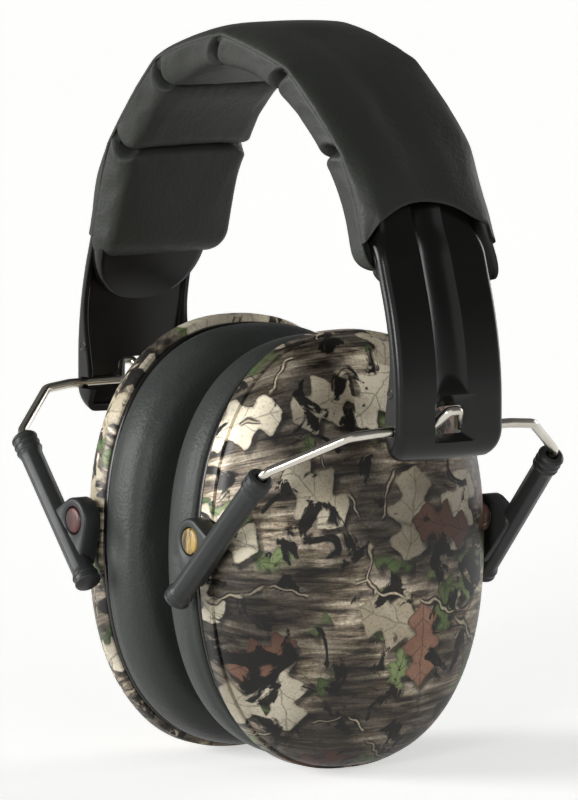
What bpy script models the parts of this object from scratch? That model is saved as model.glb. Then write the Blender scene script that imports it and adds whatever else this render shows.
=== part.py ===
"""Earmuff hearing protector: a padded headband with two sprung arms, and on each arm a wire yoke, two
height-adjusting sleeves and a tilting ear cup with a soft cushion.

Metres, +Z up. The origin is where the crown of the head meets the headband pad. X runs across the head,
with the wearer's left side at +X, and Y runs from the face (-Y) to the back of the head (+Y).
"""

import math

import bmesh
import bpy
from mathutils import Euler, Matrix, Vector

# Fits
CLEARANCE = 0.0003

# Headband arch: heights are measured outwards from the pad's inner crown
ARCH_RADIUS = 0.0534
ARCH_HALF_ANGLE = 72.0
PAD_WIDTH = 0.039
PAD_DEPTH = 0.0062
PAD_SKIN = 0.0008
PAD_SIDE = 0.0088
PAD_TAIL = 0.012
PAD_CORNER = 0.0055
PAD_SHIFT = -0.0024
CREASE_ANGLE = 27.0
CREASES_EACH_SIDE = 2
CREASE_DEPTH = 0.0034
CREASE_PINCH = 0.0009
EDGE_FLAT = 0.0014

# Spring band inside the padding
BAND_THICKNESS = 0.0016
BAND_RIB_HEIGHT = 0.0012
BAND_RIB_WIDTH = 0.006
BAND_RIB_CENTRE = 0.0078
BAND_RIB_CLEAR_ANGLE = 12.0
BAND_TONGUE = 0.0185

# Outer cover of the headband
COVER_THICKNESS = 0.0008
COVER_VALLEY = 0.0007
COVER_CROWN = 0.0112
COVER_HEM_ROOM = 0.0012
HEM_TAIL = 0.0026
HEM_RISE = 0.0073

# Arm hinge under the hem
PIN_RADIUS = 0.0006
KNUCKLE_RADIUS = 0.0013
KNUCKLE_WIDTH = 0.0052
PIN_ABOVE_HEM = 0.0012

# Arms: U-channels open to the inside
ARM_WIDTH = 0.032
ARM_WEB = 0.0022
ARM_WALL = 0.0016
ARM_RIM_TOP = 0.0028
ARM_RIM_BOTTOM = 0.0064
ARM_STRAIGHT = 0.0185
ARM_BEND_RADIUS = 0.090
ARM_FOOT = 0.0047
ARM_CURL_RADIUS = 0.0072
ARM_CURL_ANGLE = 85.0
FLUTE_WIDTH = 0.0074
FLUTE_DEPTH = 0.0010
FLUTE_RAMP = 0.0045
WINDOW_WIDTH = 0.0096
WINDOW_HEIGHT = 0.0087
WINDOW_FLARE = 0.0012

# Wire yokes
WIRE_RADIUS = 0.0012
WIRE_HUMP = 0.0044
WIRE_HUMP_TOP = 0.0042
WIRE_HUMP_FOOT = 0.0124
WIRE_HUMP_BEND = 0.0018
WIRE_BEND = 0.0040
YOKE_HALF_SPAN = 0.0278
LEG_BESIDE_CUP = 0.0041
LEG_INWARD = 0.0150
LEG_DROP = 0.0116
LEG_LEAN = 45.0
LEG_SPLAY = 3.2

# Height-adjusting sleeves on the yoke's legs
SLEEVE_LENGTH = 0.0477
SLEEVE_RADIUS = 0.0029
SLEEVE_FLOOR = 0.0035
BORE_PLAY = 0.0008
COLLAR_RADIUS = 0.0034
COLLAR_RIDGE = 0.0018
COLLAR_RIDGES_TOP = 3
COLLAR_RIDGES_END = 2
PIVOT_ALONG = 0.0320
PIVOT_OFFSET = 0.0062
EAR_RADIUS = 0.0057
EAR_THICKNESS = 0.0050
EAR_TAPER_END = 0.0400

# Ear cups: an oval outline in the YZ plane, with depths measured outwards along X
CUP_WIDTH = 0.083
CUP_HEIGHT = 0.1106
CUP_DROP = 0.0048
OVAL_POWER = 2.35
RIM_INSIDE_PIVOT = 0.0044
SHELL_DEPTH = 0.021
SHELL_WALL = 0.0022
RIM_BAND = 0.0029
RIM_STEP = 0.0009
TRUNNION_RADIUS = 0.0033
PLATE_THICKNESS = 0.0014
PLATE_INSET = 0.0007
PLATE_WIDTH = 0.0175
CUSHION_DEPTH = 0.0146
CUSHION_WIDTH = 0.0195
CUSHION_BULGE = 0.0006
CUSHION_SHORT = 0.0015
CUSHION_SKIN = 0.0008
LINER_THICKNESS = 0.0085

# Mesh resolution
OVAL_SEGMENTS = 32
WIRE_ARC_STEPS = 4
SLEEVE_SEGMENTS = 12

# Widths that follow from another piece: the band is as wide as the arms, and the legs stand beside the cups
BAND_WIDTH = ARM_WIDTH
LEG_HALF_SPAN = 0.5 * CUP_WIDTH + LEG_BESIDE_CUP

# Heights in the headband's stack of layers, outwards from the pad's inner crown
BAND_INNER = PAD_DEPTH + CLEARANCE
BAND_OUTER = BAND_INNER + BAND_THICKNESS
ARM_RIM_HEIGHT = BAND_OUTER + CLEARANCE
ARM_OUTER = ARM_RIM_HEIGHT + ARM_RIM_TOP
COVER_HEM = ARM_OUTER + COVER_HEM_ROOM + COVER_THICKNESS
COVER_EDGE = PAD_SIDE + CLEARANCE
PIN_HEIGHT = ARM_RIM_HEIGHT + KNUCKLE_RADIUS

# Lengths along the side path, measured at the arm's outer face from the crown
OUTER_RADIUS = ARCH_RADIUS + ARM_OUTER
ARCH_END = OUTER_RADIUS * math.radians(ARCH_HALF_ANGLE)
PAD_END = ARCH_END + PAD_TAIL
HEM_CORNER = ARCH_END + HEM_TAIL
HEM_APEX = HEM_CORNER - HEM_RISE
PIN_STATION = HEM_APEX - PIN_ABOVE_HEM
ARM_TOP = PIN_STATION - KNUCKLE_RADIUS
BAND_END = PAD_END + BAND_TONGUE
BEND_LENGTH = ARM_BEND_RADIUS * math.radians(90.0 - ARCH_HALF_ANGLE)
BEND_START = ARCH_END + ARM_STRAIGHT
FOOT_START = BEND_START + BEND_LENGTH
CURL_START = FOOT_START + ARM_FOOT
ARM_END = CURL_START + ARM_CURL_RADIUS * math.radians(ARM_CURL_ANGLE)

# The collar behind each trunnion reaches just to the shell's rim
TRUNNION_COLLAR = RIM_INSIDE_PIVOT - CLEARANCE


def remove_scene_objects():
    for old in list(bpy.data.objects):
        bpy.data.objects.remove(old, do_unlink=True)


def collection(name):
    made = bpy.data.collections.new(name)
    bpy.context.scene.collection.children.link(made)
    return made


def material(name, colour, roughness, metallic=0.0):
    made = bpy.data.materials.new(name)
    made.use_nodes = True
    shader = made.node_tree.nodes["Principled BSDF"]
    shader.inputs["Base Color"].default_value = (*colour, 1.0)
    shader.inputs["Roughness"].default_value = roughness
    shader.inputs["Metallic"].default_value = metallic
    return made


def side_path(station):
    """Point and outward normal in XZ on the arm's outer face, at a length from the crown on the +X side."""
    runs = (
        (OUTER_RADIUS, ARCH_END),
        (None, ARM_STRAIGHT),
        (ARM_BEND_RADIUS, BEND_LENGTH),
        (None, ARM_FOOT),
        (ARM_CURL_RADIUS, ARM_END - CURL_START),
    )
    point = Vector((0.0, 0.0, OUTER_RADIUS - ARCH_RADIUS))
    turn = 0.0
    left = station
    for index, (radius, length) in enumerate(runs):
        step = left if index == len(runs) - 1 else min(left, length)
        if radius is None:
            point += step * Vector((math.cos(turn), 0.0, -math.sin(turn)))
        else:
            ended = turn + step / radius
            change = (math.sin(ended) - math.sin(turn), 0.0, math.cos(ended) - math.cos(turn))
            point += radius * Vector(change)
            turn = ended
        left -= step
        if left <= 0.0:
            break
    return point, Vector((math.sin(turn), 0.0, math.cos(turn)))


def on_path(station, y, height):
    """Point beside the side path: height is outwards from the pad's crown, and a negative station is at -X."""
    point, normal = side_path(abs(station))
    point = point + (height - ARM_OUTER) * normal
    return Vector((math.copysign(point.x, station), y, point.z))


def mirrored(values):
    """Section points given from the middle to +Y, as (y, height), completed to run from -Y to +Y."""
    left = [(-y, h) for y, h in reversed(values) if y > 0.0]
    return left + list(values)


def mesh_object(name, mesh_data, parts, finish, axis=None):
    mesh = bpy.data.meshes.new(name)
    mesh_data.normal_update()
    bmesh.ops.recalc_face_normals(mesh_data, faces=mesh_data.faces)
    mesh_data.to_mesh(mesh)
    mesh_data.free()
    made = bpy.data.objects.new(name, mesh)
    parts.objects.link(made)
    if finish:
        mesh.materials.append(finish)
    if axis:
        hang(made, axis)
    return made


def hang(piece, axis):
    """Put a piece made in world coordinates under the empty on its joint axis, with its origin there."""
    centre = axis.matrix_world.translation
    piece.data.transform(Matrix.Translation(-centre))
    piece.parent = axis


def joint_axis(name, where, parts, parent=None):
    made = bpy.data.objects.new(name, None)
    made.empty_display_size = 0.01
    made.location = where
    parts.objects.link(made)
    if parent:
        made.location = Vector(where) - parent.matrix_world.translation
        made.parent = parent
    bpy.context.view_layer.update()
    return made


def loft(rings, loop=False):
    """Skin of quads through closed rings of equal count; the ends are capped unless the rings loop."""
    data = bmesh.new()
    rows = [[data.verts.new(p) for p in ring] for ring in rings]
    count = len(rows[0])
    pairs = list(zip(rows, rows[1:]))
    if loop:
        pairs.append((rows[-1], rows[0]))
    for here, there in pairs:
        for i in range(count):
            j = (i + 1) % count
            data.faces.new((here[i], here[j], there[j], there[i]))
    if not loop:
        half = count // 2
        for row in (rows[0], rows[-1]):
            for i in range(half - 1):
                data.faces.new((row[i], row[i + 1], row[count - 2 - i], row[count - 1 - i]))
    return data


def wall_ring(outer, inner):
    """One ring of a wall: its outer line followed by its inner line run back."""
    return list(outer) + list(reversed(inner))


def smooth(piece, angle=40.0):
    piece.data.shade_smooth()
    piece.data.set_sharp_from_angle(angle=math.radians(angle))


def boolean(piece, operation, tool):
    step = piece.modifiers.new(tool.name, "BOOLEAN")
    step.operation = operation
    step.object = tool
    step.solver = "EXACT"


def as_cutter(tool, cutters):
    for owner in list(tool.users_collection):
        owner.objects.unlink(tool)
    cutters.objects.link(tool)
    tool.hide_render = True
    tool.display_type = "WIRE"
    return tool


def cylinder_y(name, radius, y_low, y_high, x, z, segments=16):
    """Cylinder along Y, as bmesh data in world coordinates."""
    data = bmesh.new()
    bmesh.ops.create_cone(
        data,
        cap_ends=True,
        segments=segments,
        radius1=radius,
        radius2=radius,
        depth=y_high - y_low,
        matrix=Matrix.Translation((x, 0.5 * (y_low + y_high), z)) @ Matrix.Rotation(math.pi / 2, 4, "X"),
    )
    return data


def box(low, high):
    data = bmesh.new()
    size = Vector(high) - Vector(low)
    middle = 0.5 * (Vector(high) + Vector(low))
    bmesh.ops.create_cube(data, size=1.0, matrix=Matrix.Translation(middle) @ Matrix.Diagonal((*size, 1.0)))
    return data


def ease(value):
    value = min(1.0, max(0.0, value))
    return value * value * (3.0 - 2.0 * value)


# Headband


def pad_stations():
    """Stations of the pad's sections from -X to +X, closer together beside each crease and at the ends."""
    step = OUTER_RADIUS * math.radians(CREASE_ANGLE)
    creases = [k * step for k in range(CREASES_EACH_SIDE + 1)]
    positive = []
    for start, end in zip(creases, creases[1:]):
        positive += [start + f * (end - start) for f in (0.07, 0.28, 0.72, 0.93, 1.0)]
    last = creases[-1]
    positive += [last + f * (PAD_END - last) for f in (0.07, 0.4)]
    positive += [PAD_END - f * PAD_CORNER for f in (1.0, 0.4, 0.0)]
    return [-s for s in reversed(positive)] + [0.0] + positive


def pad_fullness(station):
    """0 in a crease and at the pad's ends, 1 on the crown of a panel."""
    step = OUTER_RADIUS * math.radians(CREASE_ANGLE)
    reach = abs(station)
    panel = min(int(reach / step), CREASES_EACH_SIDE)
    start = panel * step
    end = start + step if panel < CREASES_EACH_SIDE else PAD_END + PAD_CORNER
    share = min(1.0, max(0.0, (reach - start) / (end - start)))
    return (1.0 - abs(2.0 * share - 1.0) ** 2.6) ** 0.5


def pad_end_round(station):
    """How far the pad's rounded end corners pull its edges in at a station."""
    into = abs(station) - (PAD_END - PAD_CORNER)
    if into <= 0.0:
        return 0.0
    return PAD_CORNER - math.sqrt(max(0.0, PAD_CORNER**2 - into**2))


def edge_drop(station):
    """How far the pad's stiff panels pull the sewn edge in from a true arch, between two creases."""
    step = OUTER_RADIUS * math.radians(CREASE_ANGLE)
    reach = abs(station)
    panel = min(int(reach / step), CREASES_EACH_SIDE)
    share = min(1.0, (reach - panel * step) / step)
    return EDGE_FLAT * (1.0 - (2.0 * share - 1.0) ** 2)


def pad_section(station, inset):
    """Half section of the pad, from its middle round to its sewn edge, a skin's thickness further in."""
    full = pad_fullness(station)
    pull = pad_end_round(station)
    half = 0.5 * PAD_WIDTH - inset
    face = half - CREASE_PINCH * (1.0 - full) - 0.8 * pull
    low = CREASE_DEPTH * (1.0 - full) + 0.75 * pull + inset
    rise = PAD_DEPTH - low
    return [
        (0.0, low),
        (0.55 * face, low + 0.02 * rise),
        (0.82 * face, low + 0.12 * rise),
        (0.95 * face, low + 0.34 * rise),
        (0.5 * (face + half), low + 0.66 * rise),
        (half, PAD_DEPTH),
        (half - 0.25 * PAD_SKIN, PAD_SIDE - edge_drop(station)),
    ]


def make_pad(parts, finish):
    rings = []
    for station in pad_stations():
        outer = mirrored(pad_section(station, 0.0))
        inner = mirrored(pad_section(station, PAD_SKIN))
        ring = wall_ring(outer, inner)
        rings.append([on_path(station + PAD_SHIFT, y, h) for y, h in ring])
    piece = mesh_object("headband_pad", loft(rings), parts, finish)
    smooth(piece, 60.0)
    return piece


def make_pad_foam(parts, finish):
    stations = [s for s in pad_stations() if abs(s) <= PAD_END - 0.9 * PAD_CORNER]
    foam_back = PAD_DEPTH - CLEARANCE
    rings = []
    for station in stations:
        under = mirrored(pad_section(station, PAD_SKIN + 2 * CLEARANCE)[:-1])
        under = [(y, min(h, foam_back - CLEARANCE)) for y, h in under]
        back = [(y, foam_back) for y, _ in under]
        rings.append([on_path(station + PAD_SHIFT, y, h) for y, h in wall_ring(under, back)])
    return mesh_object("headband_foam", loft(rings), parts, finish)


def make_band(parts, cutters, finish):
    half = 0.5 * BAND_WIDTH
    rib_end = ARCH_END - OUTER_RADIUS * math.radians(BAND_RIB_CLEAR_ANGLE)
    rise = 0.004
    steps = 9
    positive = [rib_end * k / steps for k in range(1, steps + 1)]
    positive += [rib_end + rise, 0.5 * (rib_end + ARCH_END), ARCH_END, 0.5 * (ARCH_END + PAD_END)]
    tongue = 0.5 * math.pi
    positive += [PAD_END + BAND_TONGUE * math.sin(tongue * f) for f in (0.0, 0.25, 0.5, 0.7, 0.85, 0.97)]
    rings = []
    for station in [-s for s in reversed(positive)] + [0.0] + positive:
        reach = abs(station)
        tall = BAND_OUTER + BAND_RIB_HEIGHT * (1.0 - ease((reach - rib_end) / rise))
        along = max(0.0, (reach - PAD_END) / BAND_TONGUE)
        wide = half * math.sqrt(1.0 - along**2)
        low_rib = min(BAND_RIB_CENTRE - 0.5 * BAND_RIB_WIDTH, 0.4 * wide)
        high_rib = min(BAND_RIB_CENTRE + 0.5 * BAND_RIB_WIDTH, 0.8 * wide)
        slope = 0.12 * (high_rib - low_rib)
        top = [
            (0.0, BAND_OUTER),
            (low_rib - slope, BAND_OUTER),
            (low_rib + slope, tall),
            (high_rib - slope, tall),
            (high_rib + slope, BAND_OUTER),
            (wide, BAND_OUTER),
        ]
        outer = mirrored(top)
        inner = [(y, BAND_INNER) for y, _ in outer]
        rings.append([on_path(station, y, h) for y, h in wall_ring(outer, inner)])
    band = mesh_object("headband_band", loft(rings), parts, finish)
    for side, word in ((1, "left"), (-1, "right")):
        centre = on_path(side * PIN_STATION, 0.0, PIN_HEIGHT)
        inside = on_path(side * PIN_STATION, 0.0, BAND_OUTER - 0.5 * BAND_THICKNESS)
        lug = hinge_lug(f"{word}_band_lug", centre, inside, -0.5 * KNUCKLE_WIDTH, 0.5 * KNUCKLE_WIDTH, parts)
        boolean(band, "UNION", as_cutter(lug, cutters))
        hole = pin_hole(f"{word}_band_pin_hole", centre, parts)
        boolean(band, "DIFFERENCE", as_cutter(hole, cutters))
    return band


def hinge_lug(name, centre, root, y_low, y_high, parts):
    """Knuckle round the arm's pin with a straight root that reaches down into the piece that carries it."""
    data = bmesh.new()
    toward = (root - centre).normalized()
    side = Vector((toward.z, 0.0, -toward.x)) * KNUCKLE_RADIUS
    start = math.atan2(side.z, side.x)
    outline = [root + side]
    steps = 8
    for k in range(steps + 1):
        turn = start + math.pi * k / steps * (1 if toward.x * side.z - toward.z * side.x < 0 else -1)
        outline.append(centre + KNUCKLE_RADIUS * Vector((math.cos(turn), 0.0, math.sin(turn))))
    outline.append(root - side)
    rows = []
    for y in (y_low, y_high):
        rows.append([data.verts.new((p.x, y, p.z)) for p in outline])
    count = len(outline)
    for i in range(count):
        j = (i + 1) % count
        data.faces.new((rows[0][i], rows[0][j], rows[1][j], rows[1][i]))
    data.faces.new(rows[0])
    data.faces.new(rows[1])
    return mesh_object(name, data, parts, None)


def pin_hole(name, centre, parts):
    reach = 0.5 * ARM_WIDTH
    data = cylinder_y(name, PIN_RADIUS + CLEARANCE, -reach, reach, centre.x, centre.z, 12)
    return mesh_object(name, data, parts, None)


def cover_section(share, inset):
    """Half section of the cover at a share of its half length, from the middle down to its sewn edge."""
    half = 0.5 * PAD_WIDTH - inset
    lift = ease((abs(share) - 0.55) / 0.4)
    top = COVER_CROWN + (COVER_HEM - COVER_CROWN) * lift - inset
    edge = COVER_EDGE - edge_drop(share * HEM_CORNER - PAD_SHIFT)
    rise = top - edge
    valley = COVER_VALLEY * (1.0 - 0.6 * lift)
    return [
        (0.0, top - valley),
        (0.18 * half, top - 0.7 * valley),
        (0.40 * half, top),
        (0.62 * half, top - 0.06 * rise),
        (0.80 * half, top - 0.20 * rise),
        (0.92 * half, top - 0.45 * rise),
        (0.985 * half, top - 0.72 * rise),
        (half, edge),
    ]


def cover_shares():
    """Shares of the cover's half length at its sections, which follow the pad's creases along the edge."""
    step = 0.25 * OUTER_RADIUS * math.radians(CREASE_ANGLE)
    count = math.ceil(HEM_CORNER / step) + 1
    edges = [k * step + PAD_SHIFT for k in range(-count, count + 1)]
    inside = [edge / HEM_CORNER for edge in edges if abs(edge) < HEM_CORNER - 0.3 * step]
    return [-1.0] + inside + [1.0]


def make_cover(parts, finish):
    half = 0.5 * PAD_WIDTH
    rings = []
    for share in cover_shares():
        outer = mirrored(cover_section(share, 0.0))
        inner = mirrored(cover_section(share, COVER_THICKNESS))
        ring = []
        for y, height in wall_ring(outer, inner):
            end = HEM_APEX + HEM_RISE * (y / half) ** 2
            ring.append(on_path(share * end, y, height))
        rings.append(ring)
    piece = mesh_object("headband_cover", loft(rings), parts, finish)
    smooth(piece, 60.0)
    return piece


# Arms


def arm_section(station):
    """Outer and inner lines of the arm's channel at a station, as (y, depth below the outer face)."""
    half = 0.5 * ARM_WIDTH
    deepen = ease((station - BAND_END) / (CURL_START - BAND_END))
    rim = ARM_RIM_TOP + (ARM_RIM_BOTTOM - ARM_RIM_TOP) * deepen
    flute_end = FOOT_START - FLUTE_RAMP
    flute = FLUTE_DEPTH * (1.0 - ease((station - flute_end) / FLUTE_RAMP))
    spread = 0.5 * FLUTE_WIDTH * (1.0 + 0.25 * (station - ARM_TOP) / (ARM_END - ARM_TOP))
    edge = 1.15 * ARM_WEB
    outer = [
        (0.0, flute),
        (spread - 0.0008, flute),
        (spread + 0.0008, 0.0),
        (0.66 * half, 0.05 * edge),
        (0.82 * half, 0.22 * edge),
        (0.94 * half, 0.55 * edge),
        (half, edge),
        (half, rim),
    ]
    inside = half - ARM_WALL
    inner = [
        (0.0, ARM_WEB),
        (spread - 0.0008, ARM_WEB),
        (spread + 0.0008, ARM_WEB),
        (0.66 * half, ARM_WEB),
        (0.90 * inside, ARM_WEB),
        (0.98 * inside, ARM_WEB + 0.05 * ARM_WALL),
        (inside, ARM_WEB + 0.15 * ARM_WALL),
        (inside, rim),
    ]
    return mirrored(outer), mirrored(inner)


def arm_stations():
    hem = [ARM_TOP, 0.5 * (ARM_TOP + ARCH_END), ARCH_END, 0.5 * (ARCH_END + BEND_START)]
    bend = [BEND_START + f * BEND_LENGTH for f in (0.0, 0.25, 0.5, 0.75)]
    ramp = [FOOT_START - FLUTE_RAMP, FOOT_START - 0.5 * FLUTE_RAMP, FOOT_START]
    steps = 6
    curl = [CURL_START + (ARM_END - CURL_START) * k / steps for k in range(steps + 1)]
    return sorted(set(hem + bend + ramp + curl))


def wire_axis():
    """Where the yoke's wire crosses the arm, on the +X side: against the web at the start of the curl."""
    point, normal = side_path(CURL_START)
    return point - (ARM_WEB + CLEARANCE + WIRE_RADIUS) * normal


def make_arm(side, word, axis, parts, cutters, finish):
    rings = []
    for station in arm_stations():
        outer, inner = arm_section(station)
        ring = wall_ring(outer, inner)
        rings.append([on_path(side * station, y, ARM_OUTER - depth) for y, depth in ring])
    arm = mesh_object(f"{word}_arm", loft(rings), parts, finish)
    centre = on_path(side * PIN_STATION, 0.0, PIN_HEIGHT)
    root = on_path(side * (PIN_STATION + 1.2 * KNUCKLE_RADIUS), 0.0, ARM_OUTER - 0.5 * ARM_WEB)
    near = 0.5 * KNUCKLE_WIDTH + CLEARANCE
    for sign, end in ((1, "rear"), (-1, "front")):
        low, high = sorted((sign * near, sign * (near + KNUCKLE_WIDTH)))
        lug = hinge_lug(f"{word}_{end}_arm_lug", centre, root, low, high, parts)
        boolean(arm, "UNION", as_cutter(lug, cutters))
    gap = hinge_gap(f"{word}_arm_hinge_gap", side, parts)
    boolean(arm, "DIFFERENCE", as_cutter(gap, cutters))
    boolean(arm, "DIFFERENCE", as_cutter(pin_hole(f"{word}_arm_pin_hole", centre, parts), cutters))
    boolean(arm, "DIFFERENCE", as_cutter(arm_window(side, word, parts), cutters))
    boolean(arm, "DIFFERENCE", as_cutter(wire_notch(side, word, parts), cutters))
    smooth(arm)
    for tool in arm.modifiers:
        tool.object.parent = axis
        tool.object.matrix_parent_inverse = axis.matrix_world.inverted()
    hang(arm, axis)
    return arm


def hinge_gap(name, side, parts):
    """Room in the arm's top edge for the band's knuckle."""
    reach = 0.5 * KNUCKLE_WIDTH + CLEARANCE
    stations = (ARM_TOP - KNUCKLE_RADIUS, PIN_STATION + KNUCKLE_RADIUS + CLEARANCE)
    rings = []
    for station in stations:
        corners = []
        for y, height in ((-reach, 0.0), (reach, 0.0), (reach, 1.0), (-reach, 1.0)):
            level = BAND_OUTER + height * (COVER_HEM - BAND_OUTER)
            corners.append(on_path(side * station, y, level))
        rings.append(corners)
    return mesh_object(name, loft(rings), parts, None)


def arm_window(side, word, parts):
    """Wedge-sided window in the web, where the yoke's wire shows."""
    centre = wire_axis()
    outer_x = side_path(CURL_START)[0].x + WIRE_RADIUS
    inner_x = centre.x - ARM_RIM_BOTTOM
    middle_z = centre.z - 0.1 * WINDOW_HEIGHT
    data = box(
        (inner_x, -0.5 * WINDOW_WIDTH, middle_z - 0.5 * WINDOW_HEIGHT),
        (outer_x, 0.5 * WINDOW_WIDTH, middle_z + 0.5 * WINDOW_HEIGHT),
    )
    for vert in data.verts:
        if vert.co.x > centre.x:
            vert.co.y += math.copysign(WINDOW_FLARE, vert.co.y)
            vert.co.z += math.copysign(WINDOW_FLARE, vert.co.z - middle_z)
        vert.co.x *= side
    return mesh_object(f"{word}_arm_window", data, parts, None)


def wire_notch(side, word, parts):
    """Open slot across both side walls, from their inner rims to the round seat of the wire."""
    centre = wire_axis()
    room = WIRE_RADIUS + CLEARANCE
    low_x = centre.x - ARM_RIM_BOTTOM
    outline = [(low_x, centre.z - room)]
    steps = 8
    for k in range(steps + 1):
        turn = math.pi * (k / steps - 0.5)
        outline.append((centre.x + room * math.cos(turn), centre.z + room * math.sin(turn)))
    outline.append((low_x, centre.z + room))
    outline = [(side * x, z) for x, z in outline]
    return plate_y(f"{word}_wire_notch", outline, -ARM_WIDTH, ARM_WIDTH, parts)


def make_pin(side, word, parts, finish):
    centre = on_path(side * PIN_STATION, 0.0, PIN_HEIGHT)
    reach = 1.5 * KNUCKLE_WIDTH + CLEARANCE
    data = cylinder_y(word, PIN_RADIUS, -reach, reach, centre.x, centre.z, 12)
    pin = mesh_object(f"{word}_hinge_pin", data, parts, finish)
    smooth(pin)
    return pin


# Wire yokes


def rounded_route(corners):
    """Points of a route through corners given as (point, radius), each turned with an arc of its radius."""
    points = [corners[0][0]]
    for (before, _), (corner, radius), (after, _) in zip(corners, corners[1:], corners[2:]):
        back = (before - corner).normalized()
        ahead = (after - corner).normalized()
        half = 0.5 * back.angle(ahead)
        reach = radius / math.tan(half)
        centre = corner + (back + ahead).normalized() * (radius / math.sin(half))
        start = corner + back * reach - centre
        end = corner + ahead * reach - centre
        sweep = start.angle(end)
        for k in range(WIRE_ARC_STEPS + 1):
            share = k / WIRE_ARC_STEPS
            weight = math.sin((1.0 - share) * sweep), math.sin(share * sweep)
            points.append(centre + (weight[0] * start + weight[1] * end) / math.sin(sweep))
    points.append(corners[-1][0])
    return points


def slide_direction(side):
    """Way that the sleeves slide down the yoke: the mean of its two legs."""
    lean = math.radians(LEG_LEAN)
    return Vector((-side * math.sin(lean), 0.0, -math.cos(lean)))


def leg_direction(side, end):
    """Way that one leg runs; end is -1 at the front and 1 at the rear, and the legs splay apart downwards."""
    splay = math.radians(LEG_SPLAY)
    return slide_direction(side) * math.cos(splay) + Vector((0.0, end * math.sin(splay), 0.0))


def sleeve_mouth(side, end):
    """Mouth of a sleeve, set so that the leg is at its half span beside the cup's pivot."""
    axis = wire_axis()
    y = end * (LEG_HALF_SPAN - PIVOT_ALONG * math.tan(math.radians(LEG_SPLAY)))
    return Vector((side * (axis.x - LEG_INWARD), y, axis.z - LEG_DROP))


def make_yoke(side, word, axis, parts, finish):
    seat = wire_axis()
    seat.x *= side
    leg = SLEEVE_LENGTH - SLEEVE_FLOOR - CLEARANCE
    down = leg_direction(side, 1)
    half = [
        (seat + Vector((0.0, 0.5 * WIRE_HUMP_TOP, WIRE_HUMP)), WIRE_HUMP_BEND),
        (seat + Vector((0.0, 0.5 * WIRE_HUMP_FOOT, 0.0)), WIRE_HUMP_BEND),
        (seat + Vector((0.0, 0.5 * ARM_WIDTH + WIRE_BEND, 0.0)), WIRE_BEND),
        (seat + Vector((-side * WIRE_RADIUS, YOKE_HALF_SPAN, -0.6 * WIRE_RADIUS)), WIRE_BEND),
        (sleeve_mouth(side, 1) - down * 0.4 * WIRE_BEND, WIRE_BEND),
        (sleeve_mouth(side, 1) + down * leg, 0.0),
    ]
    corners = [(Vector((p.x, -p.y, p.z)), radius) for p, radius in reversed(half)] + half
    path = bpy.data.curves.new(f"{word}_yoke", "CURVE")
    path.dimensions = "3D"
    path.bevel_depth = WIRE_RADIUS
    path.bevel_resolution = 2
    path.use_fill_caps = True
    points = rounded_route(corners)
    spline = path.splines.new("POLY")
    spline.points.add(len(points) - 1)
    for slot, point in zip(spline.points, points):
        slot.co = (*(point - axis.matrix_world.translation), 1.0)
    path.materials.append(finish)
    yoke = bpy.data.objects.new(f"{word}_yoke", path)
    parts.objects.link(yoke)
    yoke.parent = axis
    return yoke


# Height-adjusting sleeves


def sleeve_profile():
    """Turned outline of a sleeve, from the middle of its mouth down to the middle of its lower end."""
    ridge = COLLAR_RIDGE
    valley = 0.5 * (SLEEVE_RADIUS + COLLAR_RADIUS)
    points = [(0.0, 0.0), (0.8 * COLLAR_RADIUS, 0.0)]
    z = 0.0
    for k in range(COLLAR_RIDGES_TOP):
        points += [(COLLAR_RADIUS, z - 0.3 * ridge), (COLLAR_RADIUS, z - 0.7 * ridge), (valley, z - ridge)]
        z -= ridge
    points.append((SLEEVE_RADIUS, z - 0.6 * ridge))
    z = -SLEEVE_LENGTH + COLLAR_RIDGES_END * ridge
    points.append((SLEEVE_RADIUS, z + 0.6 * ridge))
    for k in range(COLLAR_RIDGES_END):
        points += [(valley, z), (COLLAR_RADIUS, z - 0.3 * ridge), (COLLAR_RADIUS, z - 0.7 * ridge)]
        z -= ridge
    points += [(0.75 * COLLAR_RADIUS, -SLEEVE_LENGTH), (0.0, -SLEEVE_LENGTH)]
    return points


def turned(name, profile, parts, segments):
    mesh = bpy.data.meshes.new(name)
    edges = [(i, i + 1) for i in range(len(profile) - 1)]
    mesh.from_pydata([(x, 0.0, z) for x, z in profile], edges, [])
    made = bpy.data.objects.new(name, mesh)
    parts.objects.link(made)
    screw = made.modifiers.new("turn", "SCREW")
    screw.axis = "Z"
    screw.angle = math.tau
    screw.steps = segments
    screw.render_steps = segments
    screw.use_merge_vertices = True
    screw.merge_threshold = 0.00001
    screw.use_smooth_shade = True
    return made


def hull_outline(circles, steps=20):
    """Convex outline round circles given as (x, z, radius)."""
    points = []
    for x, z, radius in circles:
        for k in range(steps):
            turn = math.tau * k / steps
            points.append((x + radius * math.cos(turn), z + radius * math.sin(turn)))
    points.sort()
    chains = []
    for run in (points, list(reversed(points))):
        chain = []
        for p in run:
            while len(chain) > 1:
                (ax, az), (bx, bz) = chain[-2:]
                if (bx - ax) * (p[1] - az) - (bz - az) * (p[0] - ax) > 0.0:
                    break
                chain.pop()
            chain.append(p)
        chains += chain[:-1]
    return chains


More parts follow.
